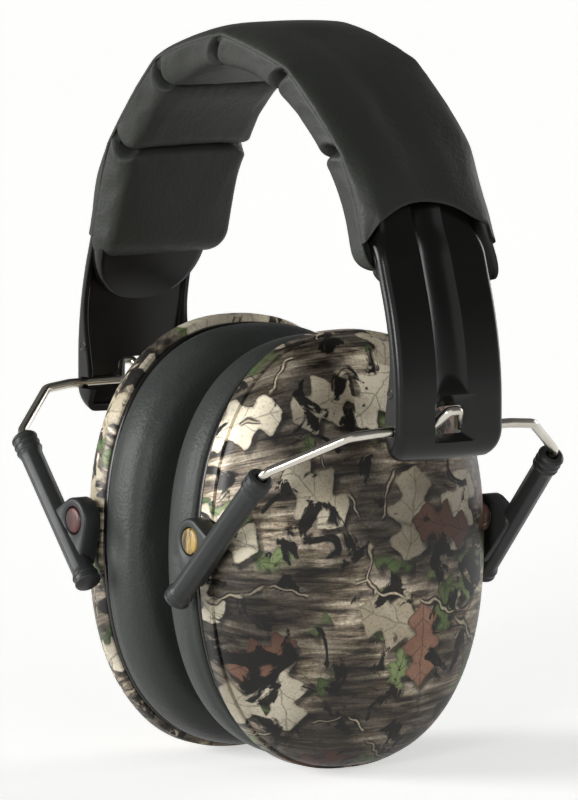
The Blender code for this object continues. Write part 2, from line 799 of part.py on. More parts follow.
def make_sleeve(side, word, end, axis, parts, cutters, finish):
    """Sleeve on one leg, turned about its own axis, with the flat ear that holds the cup's trunnion."""
    end_word = "rear" if end > 0 else "front"
    name = f"{word}_{end_word}_sleeve"
    sleeve = turned(name, sleeve_profile(), parts, SLEEVE_SEGMENTS)
    sleeve.data.materials.append(finish)
    sleeve.location = sleeve_mouth(side, end) - axis.matrix_world.translation
    lean = Euler((0.0, side * math.radians(LEG_LEAN), 0.0)).to_matrix()
    splay = Euler((end * math.radians(LEG_SPLAY), 0.0, 0.0)).to_matrix()
    sleeve.rotation_euler = (lean @ splay).to_euler()
    sleeve.parent = axis
    bpy.context.view_layer.update()
    pivot = pivot_point(side)
    foot = sleeve_mouth(side, end) + leg_direction(side, end) * EAR_TAPER_END
    shoulder = sleeve_mouth(side, end) + leg_direction(side, end) * (PIVOT_ALONG - EAR_RADIUS)
    inset = 0.6 * SLEEVE_RADIUS
    circles = (
        (pivot.x, pivot.z, EAR_RADIUS),
        (foot.x, foot.z, inset),
        (shoulder.x, shoulder.z, inset),
    )
    outside = end * ear_outside()
    inside = outside - end * EAR_THICKNESS
    ear = plate_y(f"{name}_ear", hull_outline(circles), inside, outside, parts)
    low, high = sorted((0.8 * inside, 1.2 * outside))
    hole = cylinder_y(name, TRUNNION_RADIUS + CLEARANCE, low, high, pivot.x, pivot.z, 20)
    hole = mesh_object(f"{name}_pivot_hole", hole, parts, None)
    bore = bmesh.new()
    depth = SLEEVE_LENGTH - SLEEVE_FLOOR
    bmesh.ops.create_cone(
        bore,
        cap_ends=True,
        segments=12,
        radius1=WIRE_RADIUS + BORE_PLAY,
        radius2=WIRE_RADIUS + BORE_PLAY,
        depth=2.0 * depth,
    )
    bore = mesh_object(f"{name}_bore", bore, parts, None)
    bore.matrix_world = sleeve.matrix_world
    for operation, tool in (("UNION", ear), ("DIFFERENCE", hole), ("DIFFERENCE", bore)):
        tool.parent = axis
        tool.matrix_parent_inverse = axis.matrix_world.inverted()
        boolean(sleeve, operation, as_cutter(tool, cutters))
    return sleeve


def ear_outside():
    """Outer face of the sleeves' ears, out from the middle of the cup."""
    return LEG_HALF_SPAN + 0.5 * SLEEVE_RADIUS


def plate_y(name, outline, y_from, y_to, parts):
    """Flat plate with an XZ outline between two Y levels."""
    data = bmesh.new()
    rows = [[data.verts.new((x, y, z)) for x, z in outline] for y in (y_from, y_to)]
    count = len(outline)
    for i in range(count):
        j = (i + 1) % count
        data.faces.new((rows[0][i], rows[0][j], rows[1][j], rows[1][i]))
    data.faces.new(rows[0])
    data.faces.new(rows[1])
    return mesh_object(name, data, parts, None)


# Ear cups


def pivot_point(side):
    """Middle of the two trunnions that a cup tilts on."""
    down = slide_direction(side)
    inward = Vector((-side * math.cos(math.radians(LEG_LEAN)), 0.0, math.sin(math.radians(LEG_LEAN))))
    point = sleeve_mouth(side, 1) + down * PIVOT_ALONG + inward * PIVOT_OFFSET
    return Vector((point.x, 0.0, point.z))


def oval_ring(side, x, half_width, half_height):
    """Points of the cup's oval at a distance x from the middle of the head."""
    centre_z = pivot_point(side).z - CUP_DROP
    ring = []
    for k in range(OVAL_SEGMENTS):
        turn = math.tau * k / OVAL_SEGMENTS
        y = math.copysign(abs(math.cos(turn)) ** (2.0 / OVAL_POWER), math.cos(turn))
        z = math.copysign(abs(math.sin(turn)) ** (2.0 / OVAL_POWER), math.sin(turn))
        ring.append(Vector((side * x, half_width * y, centre_z + half_height * z)))
    return ring


def rim_plane():
    return pivot_point(1).x - RIM_INSIDE_PIVOT


def cap(data):
    """Close the two open ends of a skin of rings."""
    edges = [e for e in data.edges if e.is_boundary]
    bmesh.ops.holes_fill(data, edges=edges)
    return data


def oval_skin(rings, loop):
    data = bmesh.new()
    rows = [[data.verts.new(p) for p in ring] for ring in rings]
    pairs = list(zip(rows, rows[1:]))
    if loop:
        pairs.append((rows[-1], rows[0]))
    for here, there in pairs:
        for i in range(OVAL_SEGMENTS):
            j = (i + 1) % OVAL_SEGMENTS
            data.faces.new((here[i], here[j], there[j], there[i]))
    return data if loop else cap(data)


def shell_profile(inset):
    """Rows of the shell, from the rim to the crown, as (x, half width, half height)."""
    rim = rim_plane()
    wide = 0.5 * CUP_WIDTH - inset
    tall = 0.5 * CUP_HEIGHT - inset
    step = RIM_STEP if inset == 0.0 else 0.0
    base = rim + RIM_BAND
    dome = SHELL_DEPTH - RIM_BAND - inset
    rows = [(rim, wide, tall)]
    if inset == 0.0:
        rows.append((base - 0.0004, wide - 0.0003, tall - 0.0003))
    outside = (0.0, 16.0, 32.0, 48.0, 62.0, 75.0, 85.0)
    inside = (0.0, 26.0, 50.0, 70.0, 85.0)
    for degrees in outside if inset == 0.0 else inside:
        turn = math.radians(degrees)
        share = math.cos(turn) ** 0.9
        rows.append((base + dome * math.sin(turn), (wide - step) * share, (tall - step) * share))
    return rows


def make_shell(side, word, axis, parts, cutters, finish):
    outer = [oval_ring(side, *row) for row in shell_profile(0.0)]
    inner = [oval_ring(side, *row) for row in shell_profile(SHELL_WALL)]
    shell = mesh_object(f"{word}_cup_shell", oval_skin(list(reversed(inner)) + outer, False), parts, finish)
    pivot = pivot_point(side)
    tip = ear_outside()
    seat = ear_outside() - EAR_THICKNESS - CLEARANCE
    root = 0.5 * CUP_WIDTH - RIM_STEP - 0.7 * SHELL_WALL
    for end, end_word in ((-1, "front"), (1, "rear")):
        for radius, reach, what in ((TRUNNION_COLLAR, seat, "collar"), (TRUNNION_RADIUS, tip, "trunnion")):
            low, high = sorted((end * root, end * reach))
            data = cylinder_y(what, radius, low, high, pivot.x, pivot.z, 20)
            tool = mesh_object(f"{word}_{end_word}_{what}", data, parts, None)
            boolean(shell, "UNION", as_cutter(tool, cutters))
            tool.parent = axis
            tool.matrix_parent_inverse = axis.matrix_world.inverted()
    smooth(shell)
    hang(shell, axis)
    return shell


def make_plate(side, word, axis, parts, finish):
    """Ring plate that the cushion is bonded to, seated on the shell's rim."""
    back = rim_plane() - CLEARANCE
    face = back - PLATE_THICKNESS
    wide = 0.5 * CUP_WIDTH - PLATE_INSET
    tall = 0.5 * CUP_HEIGHT - CUSHION_SHORT - CLEARANCE
    rows = (
        (back, wide, tall),
        (face, wide, tall),
        (face, wide - PLATE_WIDTH, tall - PLATE_WIDTH),
        (back, wide - PLATE_WIDTH, tall - PLATE_WIDTH),
    )
    rings = [oval_ring(side, *row) for row in rows]
    return mesh_object(f"{word}_cushion_plate", oval_skin(rings, True), parts, finish, axis)


def cushion_back():
    return rim_plane() - PLATE_THICKNESS - 2.0 * CLEARANCE


def cushion_section(inset):
    """Section of the cushion as (x, distance in from its widest outline), from back edge to back edge."""
    back = cushion_back()
    deep = CUSHION_DEPTH - inset
    wide = CUSHION_WIDTH
    points = [
        (0.0, CUSHION_BULGE + inset),
        (0.25, inset),
        (0.55, 0.03 * wide + inset),
        (0.78, 0.11 * wide + 0.8 * inset),
        (0.94, 0.25 * wide + 0.4 * inset),
        (1.0, 0.43 * wide),
        (1.0, 0.66 * wide),
        (0.88, 0.87 * wide - 0.7 * inset),
        (0.60, 0.97 * wide - inset),
        (0.0, wide - inset),
    ]
    return [(back - share * deep, q) for share, q in points]


def cushion_rings(side, section):
    wide = 0.5 * CUP_WIDTH + CUSHION_BULGE
    tall = 0.5 * CUP_HEIGHT - CUSHION_SHORT
    return [oval_ring(side, x, wide - q, tall - q) for x, q in section]


def make_cushion(side, word, axis, parts, finish):
    section = cushion_section(0.0) + list(reversed(cushion_section(CUSHION_SKIN)))
    data = oval_skin(cushion_rings(side, section), True)
    cushion = mesh_object(f"{word}_ear_cushion", data, parts, finish, axis)
    smooth(cushion, 60.0)
    return cushion


def make_cushion_foam(side, word, axis, parts, finish):
    section = cushion_section(CUSHION_SKIN + CLEARANCE)
    data = oval_skin(cushion_rings(side, section), True)
    return mesh_object(f"{word}_cushion_foam", data, parts, finish, axis)


def make_liner(side, word, axis, parts, finish):
    """Acoustic foam that fills the crown of the shell."""
    rows = shell_profile(SHELL_WALL + CLEARANCE)
    crown = rows[-1][0]
    front = crown - LINER_THICKNESS
    kept = [row for row in rows if row[0] > front]
    below = [row for row in rows if row[0] <= front][-1]
    first = kept[0]
    share = (front - below[0]) / (first[0] - below[0])
    edge = [low + share * (high - low) for low, high in zip(below, first)]
    rings = [oval_ring(side, *row) for row in [edge] + kept]
    return mesh_object(f"{word}_acoustic_liner", oval_skin(rings, False), parts, finish, axis)


def main():
    remove_scene_objects()
    parts = collection("earmuff")
    cutters = collection("earmuff_cutters")
    leatherette = material("black_pvc_leatherette", (0.030, 0.032, 0.031), 0.55)
    foam = material("grey_polyurethane_foam", (0.12, 0.12, 0.12), 0.95)
    black = material("black_nylon", (0.012, 0.012, 0.011), 0.32)
    grey = material("grey_acetal", (0.045, 0.048, 0.047), 0.45)
    steel = material("nickel_plated_steel", (0.70, 0.68, 0.64), 0.22, 1.0)
    camouflage = material("camouflage_abs", (0.21, 0.17, 0.11), 0.5)

    headband = joint_axis("headband", (0.0, 0.0, 0.0), parts)
    fixed = [
        make_pad(parts, leatherette),
        make_pad_foam(parts, foam),
        make_band(parts, cutters, black),
        make_cover(parts, leatherette),
    ]
    for side, word in ((1, "left"), (-1, "right")):
        fixed.append(make_pin(side, word, parts, steel))
        hinge = joint_axis(f"{word}_arm_axis", on_path(side * PIN_STATION, 0.0, PIN_HEIGHT), parts, headband)
        seat = wire_axis()
        swing = joint_axis(f"{word}_yoke_axis", (side * seat.x, 0.0, seat.z), parts, hinge)
        mouth = sleeve_mouth(side, 1)
        slider = joint_axis(f"{word}_slider_axis", (mouth.x, 0.0, mouth.z), parts, swing)
        pivot = joint_axis(f"{word}_cup_axis", pivot_point(side), parts, slider)
        make_arm(side, word, hinge, parts, cutters, black)
        make_yoke(side, word, swing, parts, steel)
        for end in (-1, 1):
            make_sleeve(side, word, end, slider, parts, cutters, grey)
        make_shell(side, word, pivot, parts, cutters, camouflage)
        make_plate(side, word, pivot, parts, black)
        make_cushion(side, word, pivot, parts, leatherette)
        make_cushion_foam(side, word, pivot, parts, foam)
        make_liner(side, word, pivot, parts, foam)
    for piece in fixed:
        piece.parent = headband


main()
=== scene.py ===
"""Finished look of the earmuff hearing protector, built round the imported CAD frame.

Metres, +Z up. The origin is where the crown of the head meets the headband pad, the wearer's left side
is at +X and the face is at -Y. The sizes below repeat those that the CAD model was built from.
"""

import math

import bmesh
import bpy
from mathutils import Euler, Matrix, Vector, noise


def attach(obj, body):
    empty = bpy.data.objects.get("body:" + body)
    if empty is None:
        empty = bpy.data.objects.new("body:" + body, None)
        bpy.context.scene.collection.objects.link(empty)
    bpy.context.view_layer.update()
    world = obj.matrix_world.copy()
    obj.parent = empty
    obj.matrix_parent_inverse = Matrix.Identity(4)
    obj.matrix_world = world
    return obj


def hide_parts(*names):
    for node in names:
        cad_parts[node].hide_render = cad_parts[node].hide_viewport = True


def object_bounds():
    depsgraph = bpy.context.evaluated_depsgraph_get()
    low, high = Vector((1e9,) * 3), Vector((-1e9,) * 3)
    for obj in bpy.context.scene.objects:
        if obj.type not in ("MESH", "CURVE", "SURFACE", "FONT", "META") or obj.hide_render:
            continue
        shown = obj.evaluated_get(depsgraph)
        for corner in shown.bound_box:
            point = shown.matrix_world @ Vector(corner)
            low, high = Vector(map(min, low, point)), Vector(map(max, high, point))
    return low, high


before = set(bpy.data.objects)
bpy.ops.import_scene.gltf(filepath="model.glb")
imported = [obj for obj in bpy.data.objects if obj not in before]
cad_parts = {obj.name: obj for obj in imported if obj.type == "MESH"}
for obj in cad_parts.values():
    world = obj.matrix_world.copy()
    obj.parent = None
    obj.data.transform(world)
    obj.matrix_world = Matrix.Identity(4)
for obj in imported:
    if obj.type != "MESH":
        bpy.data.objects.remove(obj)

CAD_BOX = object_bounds()

# Headband: heights run outwards from the pad's inner crown
GAP = 0.0003
ARCH_RADIUS = 0.0534
ARCH_HALF_ANGLE = math.radians(72.0)
PAD_WIDTH = 0.0394
PAD_DEPTH = 0.0062
PAD_SIDE = 0.0088
PAD_CORNER = 0.0068
CREASE_ANGLE = math.radians(27.0)
CREASES_EACH_SIDE = 2
FOLD_DEPTH = 0.0036
FOLD_PINCH = 0.0012
FOLD_SLIT = 0.0034
FOLD_BOW = 0.0026
FOLD_LIP = 0.0007
FOLD_TIGHT = 30.0
FOLD_ROUND = 11.0
PUCKER_DEPTH = 0.00030
PUCKER_WIDTH = 0.0046
PAD_ROUND = 0.0026
PAD_SLANT = 0.0015
PAD_SEAM = 0.0003
PAD_TURN_IN = 0.0009
EDGE_FLAT = 0.0014
BAND_WIDTH = 0.032
BAND_INNER = 0.0065
BAND_OUTER = 0.0081
BAND_TONGUE = 0.0185
COVER_CROWN = 0.0112
COVER_HEM = 0.0132
COVER_FLANK = 0.0008
COVER_EDGE = 0.0091
COVER_LAP = 0.0007
COVER_VALLEY = 0.0008
COVER_SKIN = 0.0008
HEM_FOLD = 0.0030
HEM_FOOT = 0.0020
HEM_SHORT = 0.0020
HEM_SQUARE_FRONT = 8.0
HEM_SQUARE_REAR = 0.6
HEM_ROLL = 0.00035
HEM_ROLL_LENGTH = 0.0007
NEAR_FOOT = (HEM_FOOT, 0.85)
FAR_FOOT = (5.0 * HEM_FOOT, 0.91)
FOOT_OUTSIDE = 0.985
VALLEY_HALF = 0.42

# The padded sleeve lies to the back. On the near side it has also slipped down at the rear, where it has two
# tucks, each given as (size, reach along the headband, width)
FAR_BACK = 0.0023
NEAR_BACK = 0.0012
NEAR_SLIP = 0.0046
REAR_TUCKS = ((0.0014, 0.071, 0.011), (-0.0009, 0.093, 0.007))

# Arms
ARM_OUTER = 0.0112
ARM_WIDTH = 0.032
ARM_WEB = 0.0022
ARM_WALL = 0.0016
ARM_RIM_TOP = 0.0032
ARM_RIM_BOTTOM = 0.0066
ARM_FILLET = 0.0021
ARM_CROWN = 0.0003
ARM_SINK = 0.0008
ARM_LIP = 0.00035
ARM_BEVEL = 0.00022
HIDDEN_FILLET = 0.0021
HIDDEN_LEAD = 0.002
HIDDEN_RUN = 0.009
CURL_FILLET = 0.0012
CURL_NARROW = 0.0005
ARM_STRAIGHT = 0.0185
ARM_BEND_RADIUS = 0.090
ARM_FOOT = 0.0067
ARM_CURL_RADIUS = 0.0072
WIRE_ABOVE_CURL = 0.0020
ARM_CURL_ANGLE = math.radians(66.0)
FLUTE_WIDTH = 0.0074
FLUTE_DEPTH = 0.0011
FLUTE_RAMP = 0.0046
FLUTE_ABOVE_WIRE = 0.0077
WINDOW_FRONT = (-0.0041, -0.0052)
WINDOW_REAR = (0.0041, 0.0074)
WINDOW_TOPS = (0.0056, 0.0085)
WINDOW_SILLS = (-0.0012, -0.0036)
WINDOW_CORNERS = (0.0007, 0.0022, 0.0007, 0.0007)
KNUCKLE_RADIUS = 0.0013
KNUCKLE_WIDTH = 0.0052

# Wire yokes and sleeves
WIRE_RADIUS = 0.0012
WIRE_SAG = 0.0009
WIRE_HUMP = 0.0046
WIRE_HUMP_OUT = 0.0042
WIRE_HUMP_TOP = 0.0030
WIRE_HUMP_FOOT = 0.0088
WIRE_HUMP_BEND = 0.0015
WIRE_BEND = 0.0040
YOKE_HALF_SPAN = 0.0278
LEG_HALF_SPAN = 0.0456
LEG_INWARD = 0.0150
LEG_DROP = 0.0116
LEG_LEAN = math.radians(45.0)
LEG_SPLAY = math.radians(3.2)
SLEEVE_LENGTH = 0.0477
SLEEVE_RADIUS = 0.0029
SLEEVE_FLOOR = 0.0035
COLLAR_RADIUS = 0.0034
COLLAR_RIDGE = 0.0018
COLLAR_BEAD = 0.00062
COLLAR_SIDES = 56
RIDGES_TOP = 3
RIDGES_END = 2
PIVOT_ALONG = 0.0320
PIVOT_OFFSET = 0.0062
EAR_RADIUS = 0.0057
EAR_THICKNESS = 0.0050
EAR_TAPER_END = 0.0400
EAR_OUTSIDE = LEG_HALF_SPAN + 0.5 * SLEEVE_RADIUS

# Ear cups
CUP_WIDTH = 0.083
CUP_HEIGHT = 0.1094
CUP_DROP = 0.0054
SHELL_SLIM = 0.0006
OVAL_POWER = 2.35
RIM_INSIDE_PIVOT = 0.0044
SHELL_DEPTH = 0.021
SHELL_WALL = 0.0022
RIM_BAND = 0.0050
RIM_STEP = 0.0007
RIM_EDGE = 0.0003
RIM_GROOVE = ((0.0008, 0.0), (0.0005, 0.0001), (0.0004, 0.0010), (0.0002, 0.0011))
DOME_POWER = 0.9
TRUNNION_RADIUS = 0.0033
PLATE_THICKNESS = 0.0014
PLATE_BITE = 0.0001
PLATE_INSET = 0.0007
PLATE_WIDTH = 0.0175
CUSHION_DEPTH = 0.0150
CUSHION_WIDTH = 0.0195
CUSHION_BULGE = 0.0006
CUSHION_SHORT = 0.0015
LINER_THICKNESS = 0.0085
OVAL_POINTS = 168

# Lengths along the side path, from the crown
OUTER_RADIUS = ARCH_RADIUS + ARM_OUTER
ARCH_END = OUTER_RADIUS * ARCH_HALF_ANGLE
PAD_END = ARCH_END + 0.0142
HEM_CORNER = ARCH_END + 0.0026
HEM_RISE = 0.0073
HEM_APEX = HEM_CORNER - HEM_RISE
PIN_STATION = HEM_APEX - 0.0012
ARM_TOP = PIN_STATION - KNUCKLE_RADIUS
BAND_START = ARCH_END + 0.012
BAND_END = BAND_START + BAND_TONGUE
BEND_LENGTH = ARM_BEND_RADIUS * (0.5 * math.pi - ARCH_HALF_ANGLE)
BEND_START = ARCH_END + ARM_STRAIGHT
FOOT_START = BEND_START + BEND_LENGTH
CURL_START = FOOT_START + ARM_FOOT
WIRE_STATION = CURL_START - WIRE_ABOVE_CURL
ARM_END = CURL_START + ARM_CURL_RADIUS * ARM_CURL_ANGLE
PANEL = OUTER_RADIUS * CREASE_ANGLE

# Tongues of the spring band, far and near: where each starts, its length, how square it is, and its swell
BAND_TONGUES = ((BAND_START, BAND_TONGUE, 2.5, 0.0030), (ARCH_END + 0.006, 0.0105, 4.0, 0.0016))

# How far the padded sleeve is pulled along the headband, by station from the far end to the near one
PAD_PULL = (
    (-PAD_END, -0.0032), (-2.0 * PANEL, -0.0024), (-PANEL, -0.0024), (0.0, -0.0012), (PANEL, 0.0003),
    (2.0 * PANEL, 0.0), (PAD_END, -0.0030),
)

SIDES = ((1, "left"), (-1, "right"))

# Camera and lamps: a lamp's strength, angular size, azimuth and elevation, with angles in degrees
VIEW_AZIMUTH = math.radians(55.3)
VIEW_ELEVATION = math.radians(6.35)
VIEW_CENTRE = Vector((0.0, 0.0, -0.084))
VIEW_DISTANCE = 2.6
VIEW_LENS = 468.0
VIEW_SHIFT = (0.00375, 0.00125)
LAMPS = {
    "key_softbox": (3.1, 34.0, -32.0, 12.0),
    "side_softbox": (0.30, 44.0, 76.0, 18.0),
    "edge_softbox": (1.2, 17.0, 34.0, 11.0),
    "back_softbox": (0.8, 30.0, -172.0, 12.0),
}

# Cloth run that fills the padded pieces, and for the pad and the cushions the most that a point may move and
# the spare cloth in the skin
FILLING = {
    "quality": 5,
    "mass": 0.3,
    "tension_stiffness": 15.0,
    "compression_stiffness": 15.0,
    "shear_stiffness": 8.0,
    "bending_stiffness": 4.0,
    "use_pressure": True,
    "uniform_pressure_force": 4.0,
}
FILLING_FRAMES = 20
PAD_FILLING = (0.0007, 0.004)
CUSHION_FILLING = (0.0008, 0.006)

# Texture features to the metre when each is 1 mm across
PER_METRE = 1000.0


# Small tools


def linear(code):
    """Linear RGBA of an sRGB hex colour."""
    shares = [int(code[i : i + 2], 16) / 255.0 for i in (1, 3, 5)]
    return (*[c / 12.92 if c <= 0.04045 else ((c + 0.055) / 1.055) ** 2.4 for c in shares], 1.0)


def feed(tree, node, inputs):
    """Give a node's inputs a value or another node's socket."""
    for name, value in inputs.items():
        if isinstance(value, bpy.types.NodeSocket):
            tree.links.new(value, node.inputs[name])
        else:
            node.inputs[name].default_value = value
    return node


def add(tree, kind, inputs=None, **settings):
    """Add a node. Settings are its own properties."""
    made = tree.nodes.new(kind)
    for name, value in settings.items():
        setattr(made, name, value)
    return feed(tree, made, inputs or {})


def ease(value):
    value = min(1.0, max(0.0, value))
    return value * value * (3.0 - 2.0 * value)


def hump(distance, width):
    """1 at no distance, falling away like a bell over a width."""
    return math.exp(-((distance / width) ** 2))


def circle_turns(count):
    return [math.tau * k / count for k in range(count)]


def even(points, count):
    """The same line with its points moved to equal steps along it."""
    lengths = [0.0]
    for a, b in zip(points, points[1:]):
        lengths.append(lengths[-1] + math.dist(a, b))
    out = []
    index = 0
    for k in range(count):
        goal = lengths[-1] * k / (count - 1)
        while index < len(lengths) - 2 and lengths[index + 1] < goal:
            index += 1
        span = lengths[index + 1] - lengths[index]
        share = min(1.0, max(0.0, (goal - lengths[index]) / span)) if span > 0.0 else 0.0
        out.append(tuple(p + share * (q - p) for p, q in zip(points[index], points[index + 1])))
    return out


def flipped(points):
    """Section points carried across to the other side, in the opposite order."""
    return [(-y, *rest) for y, *rest in reversed(points)]


def mirrored(half):
    """A half section from the middle out to +Y, completed to run from -Y to +Y."""
    return flipped(half[1:]) + list(half)


def walls(data, rows, looped=False):
    """Quads between rings of vertices of equal count, each ring to the next."""
    made = []
    for here, there in zip(rows, rows[1:] + (rows[:1] if looped else [])):
        corners = zip(here, here[1:] + here[:1], there[1:] + there[:1], there)
        made += [data.faces.new(quad) for quad in corners]
    return made


def tube(data, rows):
    """Walls between rings of vertices, and one flat face over each end."""
    return walls(data, rows) + [data.faces.new(row) for row in (rows[0], rows[-1])]


def fan(data, ring, tip):
    """Close a ring of vertices onto one point."""
    centre = data.verts.new(tip)
    return [data.faces.new((a, b, centre)) for a, b in zip(ring, ring[1:] + ring[:1])]


def skin(rows, looped=False):
    """Mesh data through closed rings of points, with flat strips over the two ends unless it loops."""
    data = bmesh.new()
    verts = [[data.verts.new(p) for p in row] for row in rows]
    walls(data, verts, looped)
    if not looped:
        count = len(verts[0])
        for row in (verts[0], verts[-1]):
            for i in range(count // 2 - 1):
                data.faces.new((row[i], row[i + 1], row[count - 2 - i], row[count - 1 - i]))
    return data


def placed(name, data):
    """A new object in the scene."""
    made = bpy.data.objects.new(name, data)
    bpy.context.scene.collection.objects.link(made)
    return made


def shaded(mesh, sharp):
    """Make a mesh smooth where its faces meet below an angle in degrees."""
    mesh.shade_smooth()
    mesh.set_sharp_from_angle(angle=math.radians(sharp))


def finished(name, data, finish, sharp=40.0):
    """A new object from mesh data, with its faces outwards and its edges smooth below an angle."""
    data.normal_update()
    bmesh.ops.recalc_face_normals(data, faces=data.faces)
    mesh = bpy.data.meshes.new(name)
    data.to_mesh(mesh)
    data.free()
    if finish:
        mesh.materials.append(finish)
    shaded(mesh, sharp)
    return placed(name, mesh)


def settled(piece):
    """Apply a piece's modifiers, so that it is a plain mesh."""
    graph = bpy.context.evaluated_depsgraph_get()
    mesh = bpy.data.meshes.new_from_object(piece.evaluated_get(graph), depsgraph=graph)
    piece.modifiers.clear()
    old = piece.data
    piece.data = mesh
    mesh.name = piece.name
    bpy.data.meshes.remove(old)
    return piece


def refined(piece, levels=1):
    step = piece.modifiers.new("smoothing", "SUBSURF")
    step.levels = levels
    step.render_levels = levels
    return settled(piece)


def fill_with_foam(piece, held, cap, spare):
    """Swell a padded piece by a short cloth run. held gives each point's grip, cap the most it may move and
    spare the extra cloth in its skin, which makes it pucker beside its folds."""
    group = piece.vertex_groups.new(name="held")
    for index, grip in enumerate(held):
        if grip > 0.0:
            group.add([index], min(1.0, grip), "REPLACE")
    start = [v.co.copy() for v in piece.data.vertices]
    cloth = piece.modifiers.new("filling", "CLOTH")
    for name, value in FILLING.items():
        setattr(cloth.settings, name, value)
    cloth.settings.vertex_group_mass = "held"
    cloth.settings.shrink_min = -spare
    cloth.settings.effector_weights.gravity = 0.0
    scene = bpy.context.scene
    for step in range(FILLING_FRAMES):
        scene.frame_set(step + 1)
    graph = bpy.context.evaluated_depsgraph_get()
    moved = [v.co.copy() for v in piece.evaluated_get(graph).data.vertices]
    piece.modifiers.remove(cloth)
    piece.vertex_groups.remove(group)
    scene.frame_set(1)
    for vert, old, new in zip(piece.data.vertices, start, moved):
        shift = new - old
        if shift.length > cap:
            shift *= cap / shift.length
        vert.co = old + shift


def side_path(station):
    """Point and outward normal in XZ on the arm's outer face, at a length from the crown on the +X side."""
    runs = (
        (OUTER_RADIUS, ARCH_END),
        (None, ARM_STRAIGHT),
        (ARM_BEND_RADIUS, BEND_LENGTH),
        (None, ARM_FOOT),
        (ARM_CURL_RADIUS, ARM_END - CURL_START),
    )
    point = Vector((0.0, 0.0, ARM_OUTER))
    turn = 0.0
    left = station
    for index, (radius, length) in enumerate(runs):
        step = left if index == len(runs) - 1 else min(left, length)
        if radius is None:
            point += step * Vector((math.cos(turn), 0.0, -math.sin(turn)))
        else:
            ended = turn + step / radius
            point += radius * Vector((math.sin(ended) - math.sin(turn), 0.0, math.cos(ended) - math.cos(turn)))
            turn = ended
        left -= step
        if left <= 0.0:
            break
    return point, Vector((math.sin(turn), 0.0, math.cos(turn)))


def on_path(station, y, height):
    """Point beside the side path; a negative station is on the -X side."""
    point, normal = side_path(abs(station))
    point = point + (height - ARM_OUTER) * normal
    return Vector((math.copysign(point.x, station), y, point.z))


def pulled(station):
    """A pad station with its pull along the headband added."""
    for (here, a), (there, b) in zip(PAD_PULL, PAD_PULL[1:]):
        if station <= there or there == PAD_END:
            return station + a + (b - a) * (station - here) / (there - here)


def askew(station, y, height):
    """Point on the padded sleeve of the headband, which lies a little to the back and lowest at the near rear."""
    reach = abs(station)
    across = 2.0 * y / PAD_WIDTH
    if station < 0.0:
        back = FAR_BACK * ease(reach / 0.07)
        slip = 0.0
    else:
        tuck = sum(size * hump(reach - middle, width) for size, middle, width in REAR_TUCKS)
        back = NEAR_BACK * ease((reach - 0.03) / 0.05) - tuck * ease(across)
        slip = NEAR_SLIP * ease((reach - 0.045) / 0.05) * ease((across + 0.6) / 1.6)
    return on_path(station + slip, y + back, height)


# Materials


def new_finish(name):
    """A new material, its tree and shader, and the place on the object in metres."""
    made = bpy.data.materials.new(name)
    made.use_nodes = True
    tree = made.node_tree
    return made, tree, tree.nodes["Principled BSDF"], add(tree, "ShaderNodeTexCoord").outputs["Object"]


def maths(tree, operation, a, b=0.0):
    return add(tree, "ShaderNodeMath", {0: a, 1: b}, operation=operation).outputs["Value"]


def vectors(tree, operation, a, b):
    return add(tree, "ShaderNodeVectorMath", {0: a, 1: b}, operation=operation).outputs["Vector"]


def blend(tree, share, under, over, kind="MIX"):
    made = add(tree, "ShaderNodeMix", {0: share, 6: under, 7: over}, data_type="RGBA", blend_type=kind)
    return made.outputs[2]


def vary(tree, value, low, high):
    """A value from 0 to 1 spread evenly over a range."""
    return add(tree, "ShaderNodeMapRange", {"Value": value, 3: low, 4: high}).outputs["Result"]


def step_up(tree, value, low, high, bottom=0.0, top=1.0):
    inputs = {"Value": value, 1: low, 2: high, 3: bottom, 4: top}
    return add(tree, "ShaderNodeMapRange", inputs, interpolation_type="SMOOTHSTEP").outputs["Result"]


def clouds(tree, place, scale, detail, rough=0.5, twist=0.0, out="Fac"):
    inputs = {"Vector": place, "Scale": scale, "Detail": detail, "Roughness": rough, "Distortion": twist}
    return add(tree, "ShaderNodeTexNoise", inputs).outputs[out]


def raised(tree, height, strength, depth, under=None, **settings):
    """Bump of a depth in metres, over another one if that is given."""
    inputs = {"Height": height, "Strength": strength, "Distance": depth}
    if under:
        inputs["Normal"] = under
    return add(tree, "ShaderNodeBump", inputs, **settings).outputs["Normal"]


def leatherette(name, dark, light, grain_mm, roughness):
    """Calendered PVC leatherette: an embossed pebble grain under a thin satin skin, which shows as fine
    sparkle on the lit side, with soft tension lines where it is pulled round an edge."""
    made, tree, shader, place = new_finish(name)
    patch = clouds(tree, place, PER_METRE / 14.0, 3.0)
    crumb = clouds(tree, place, PER_METRE / (0.55 * grain_mm), 2.0)
    pull = clouds(tree, place, PER_METRE / 4.5, 2.0, twist=0.6)
    cells = {"Vector": place, "Scale": PER_METRE / grain_mm, "Smoothness": 0.6}
    pebble = add(tree, "ShaderNodeTexVoronoi", cells, feature="SMOOTH_F1").outputs["Distance"]
    fine = raised(tree, crumb, 0.25, 0.00012)
    grain = raised(tree, pebble, 0.35, 0.00018, fine, invert=True)
    feed(tree, shader, {
        "Base Color": blend(tree, patch, linear(dark), linear(light)),
        "Roughness": vary(tree, crumb, roughness - 0.07, roughness + 0.09),
        "Normal": raised(tree, pull, 0.30, 0.0005, grain),
        "IOR": 1.5,
        "Specular IOR Level": 0.27,
    })
    return made


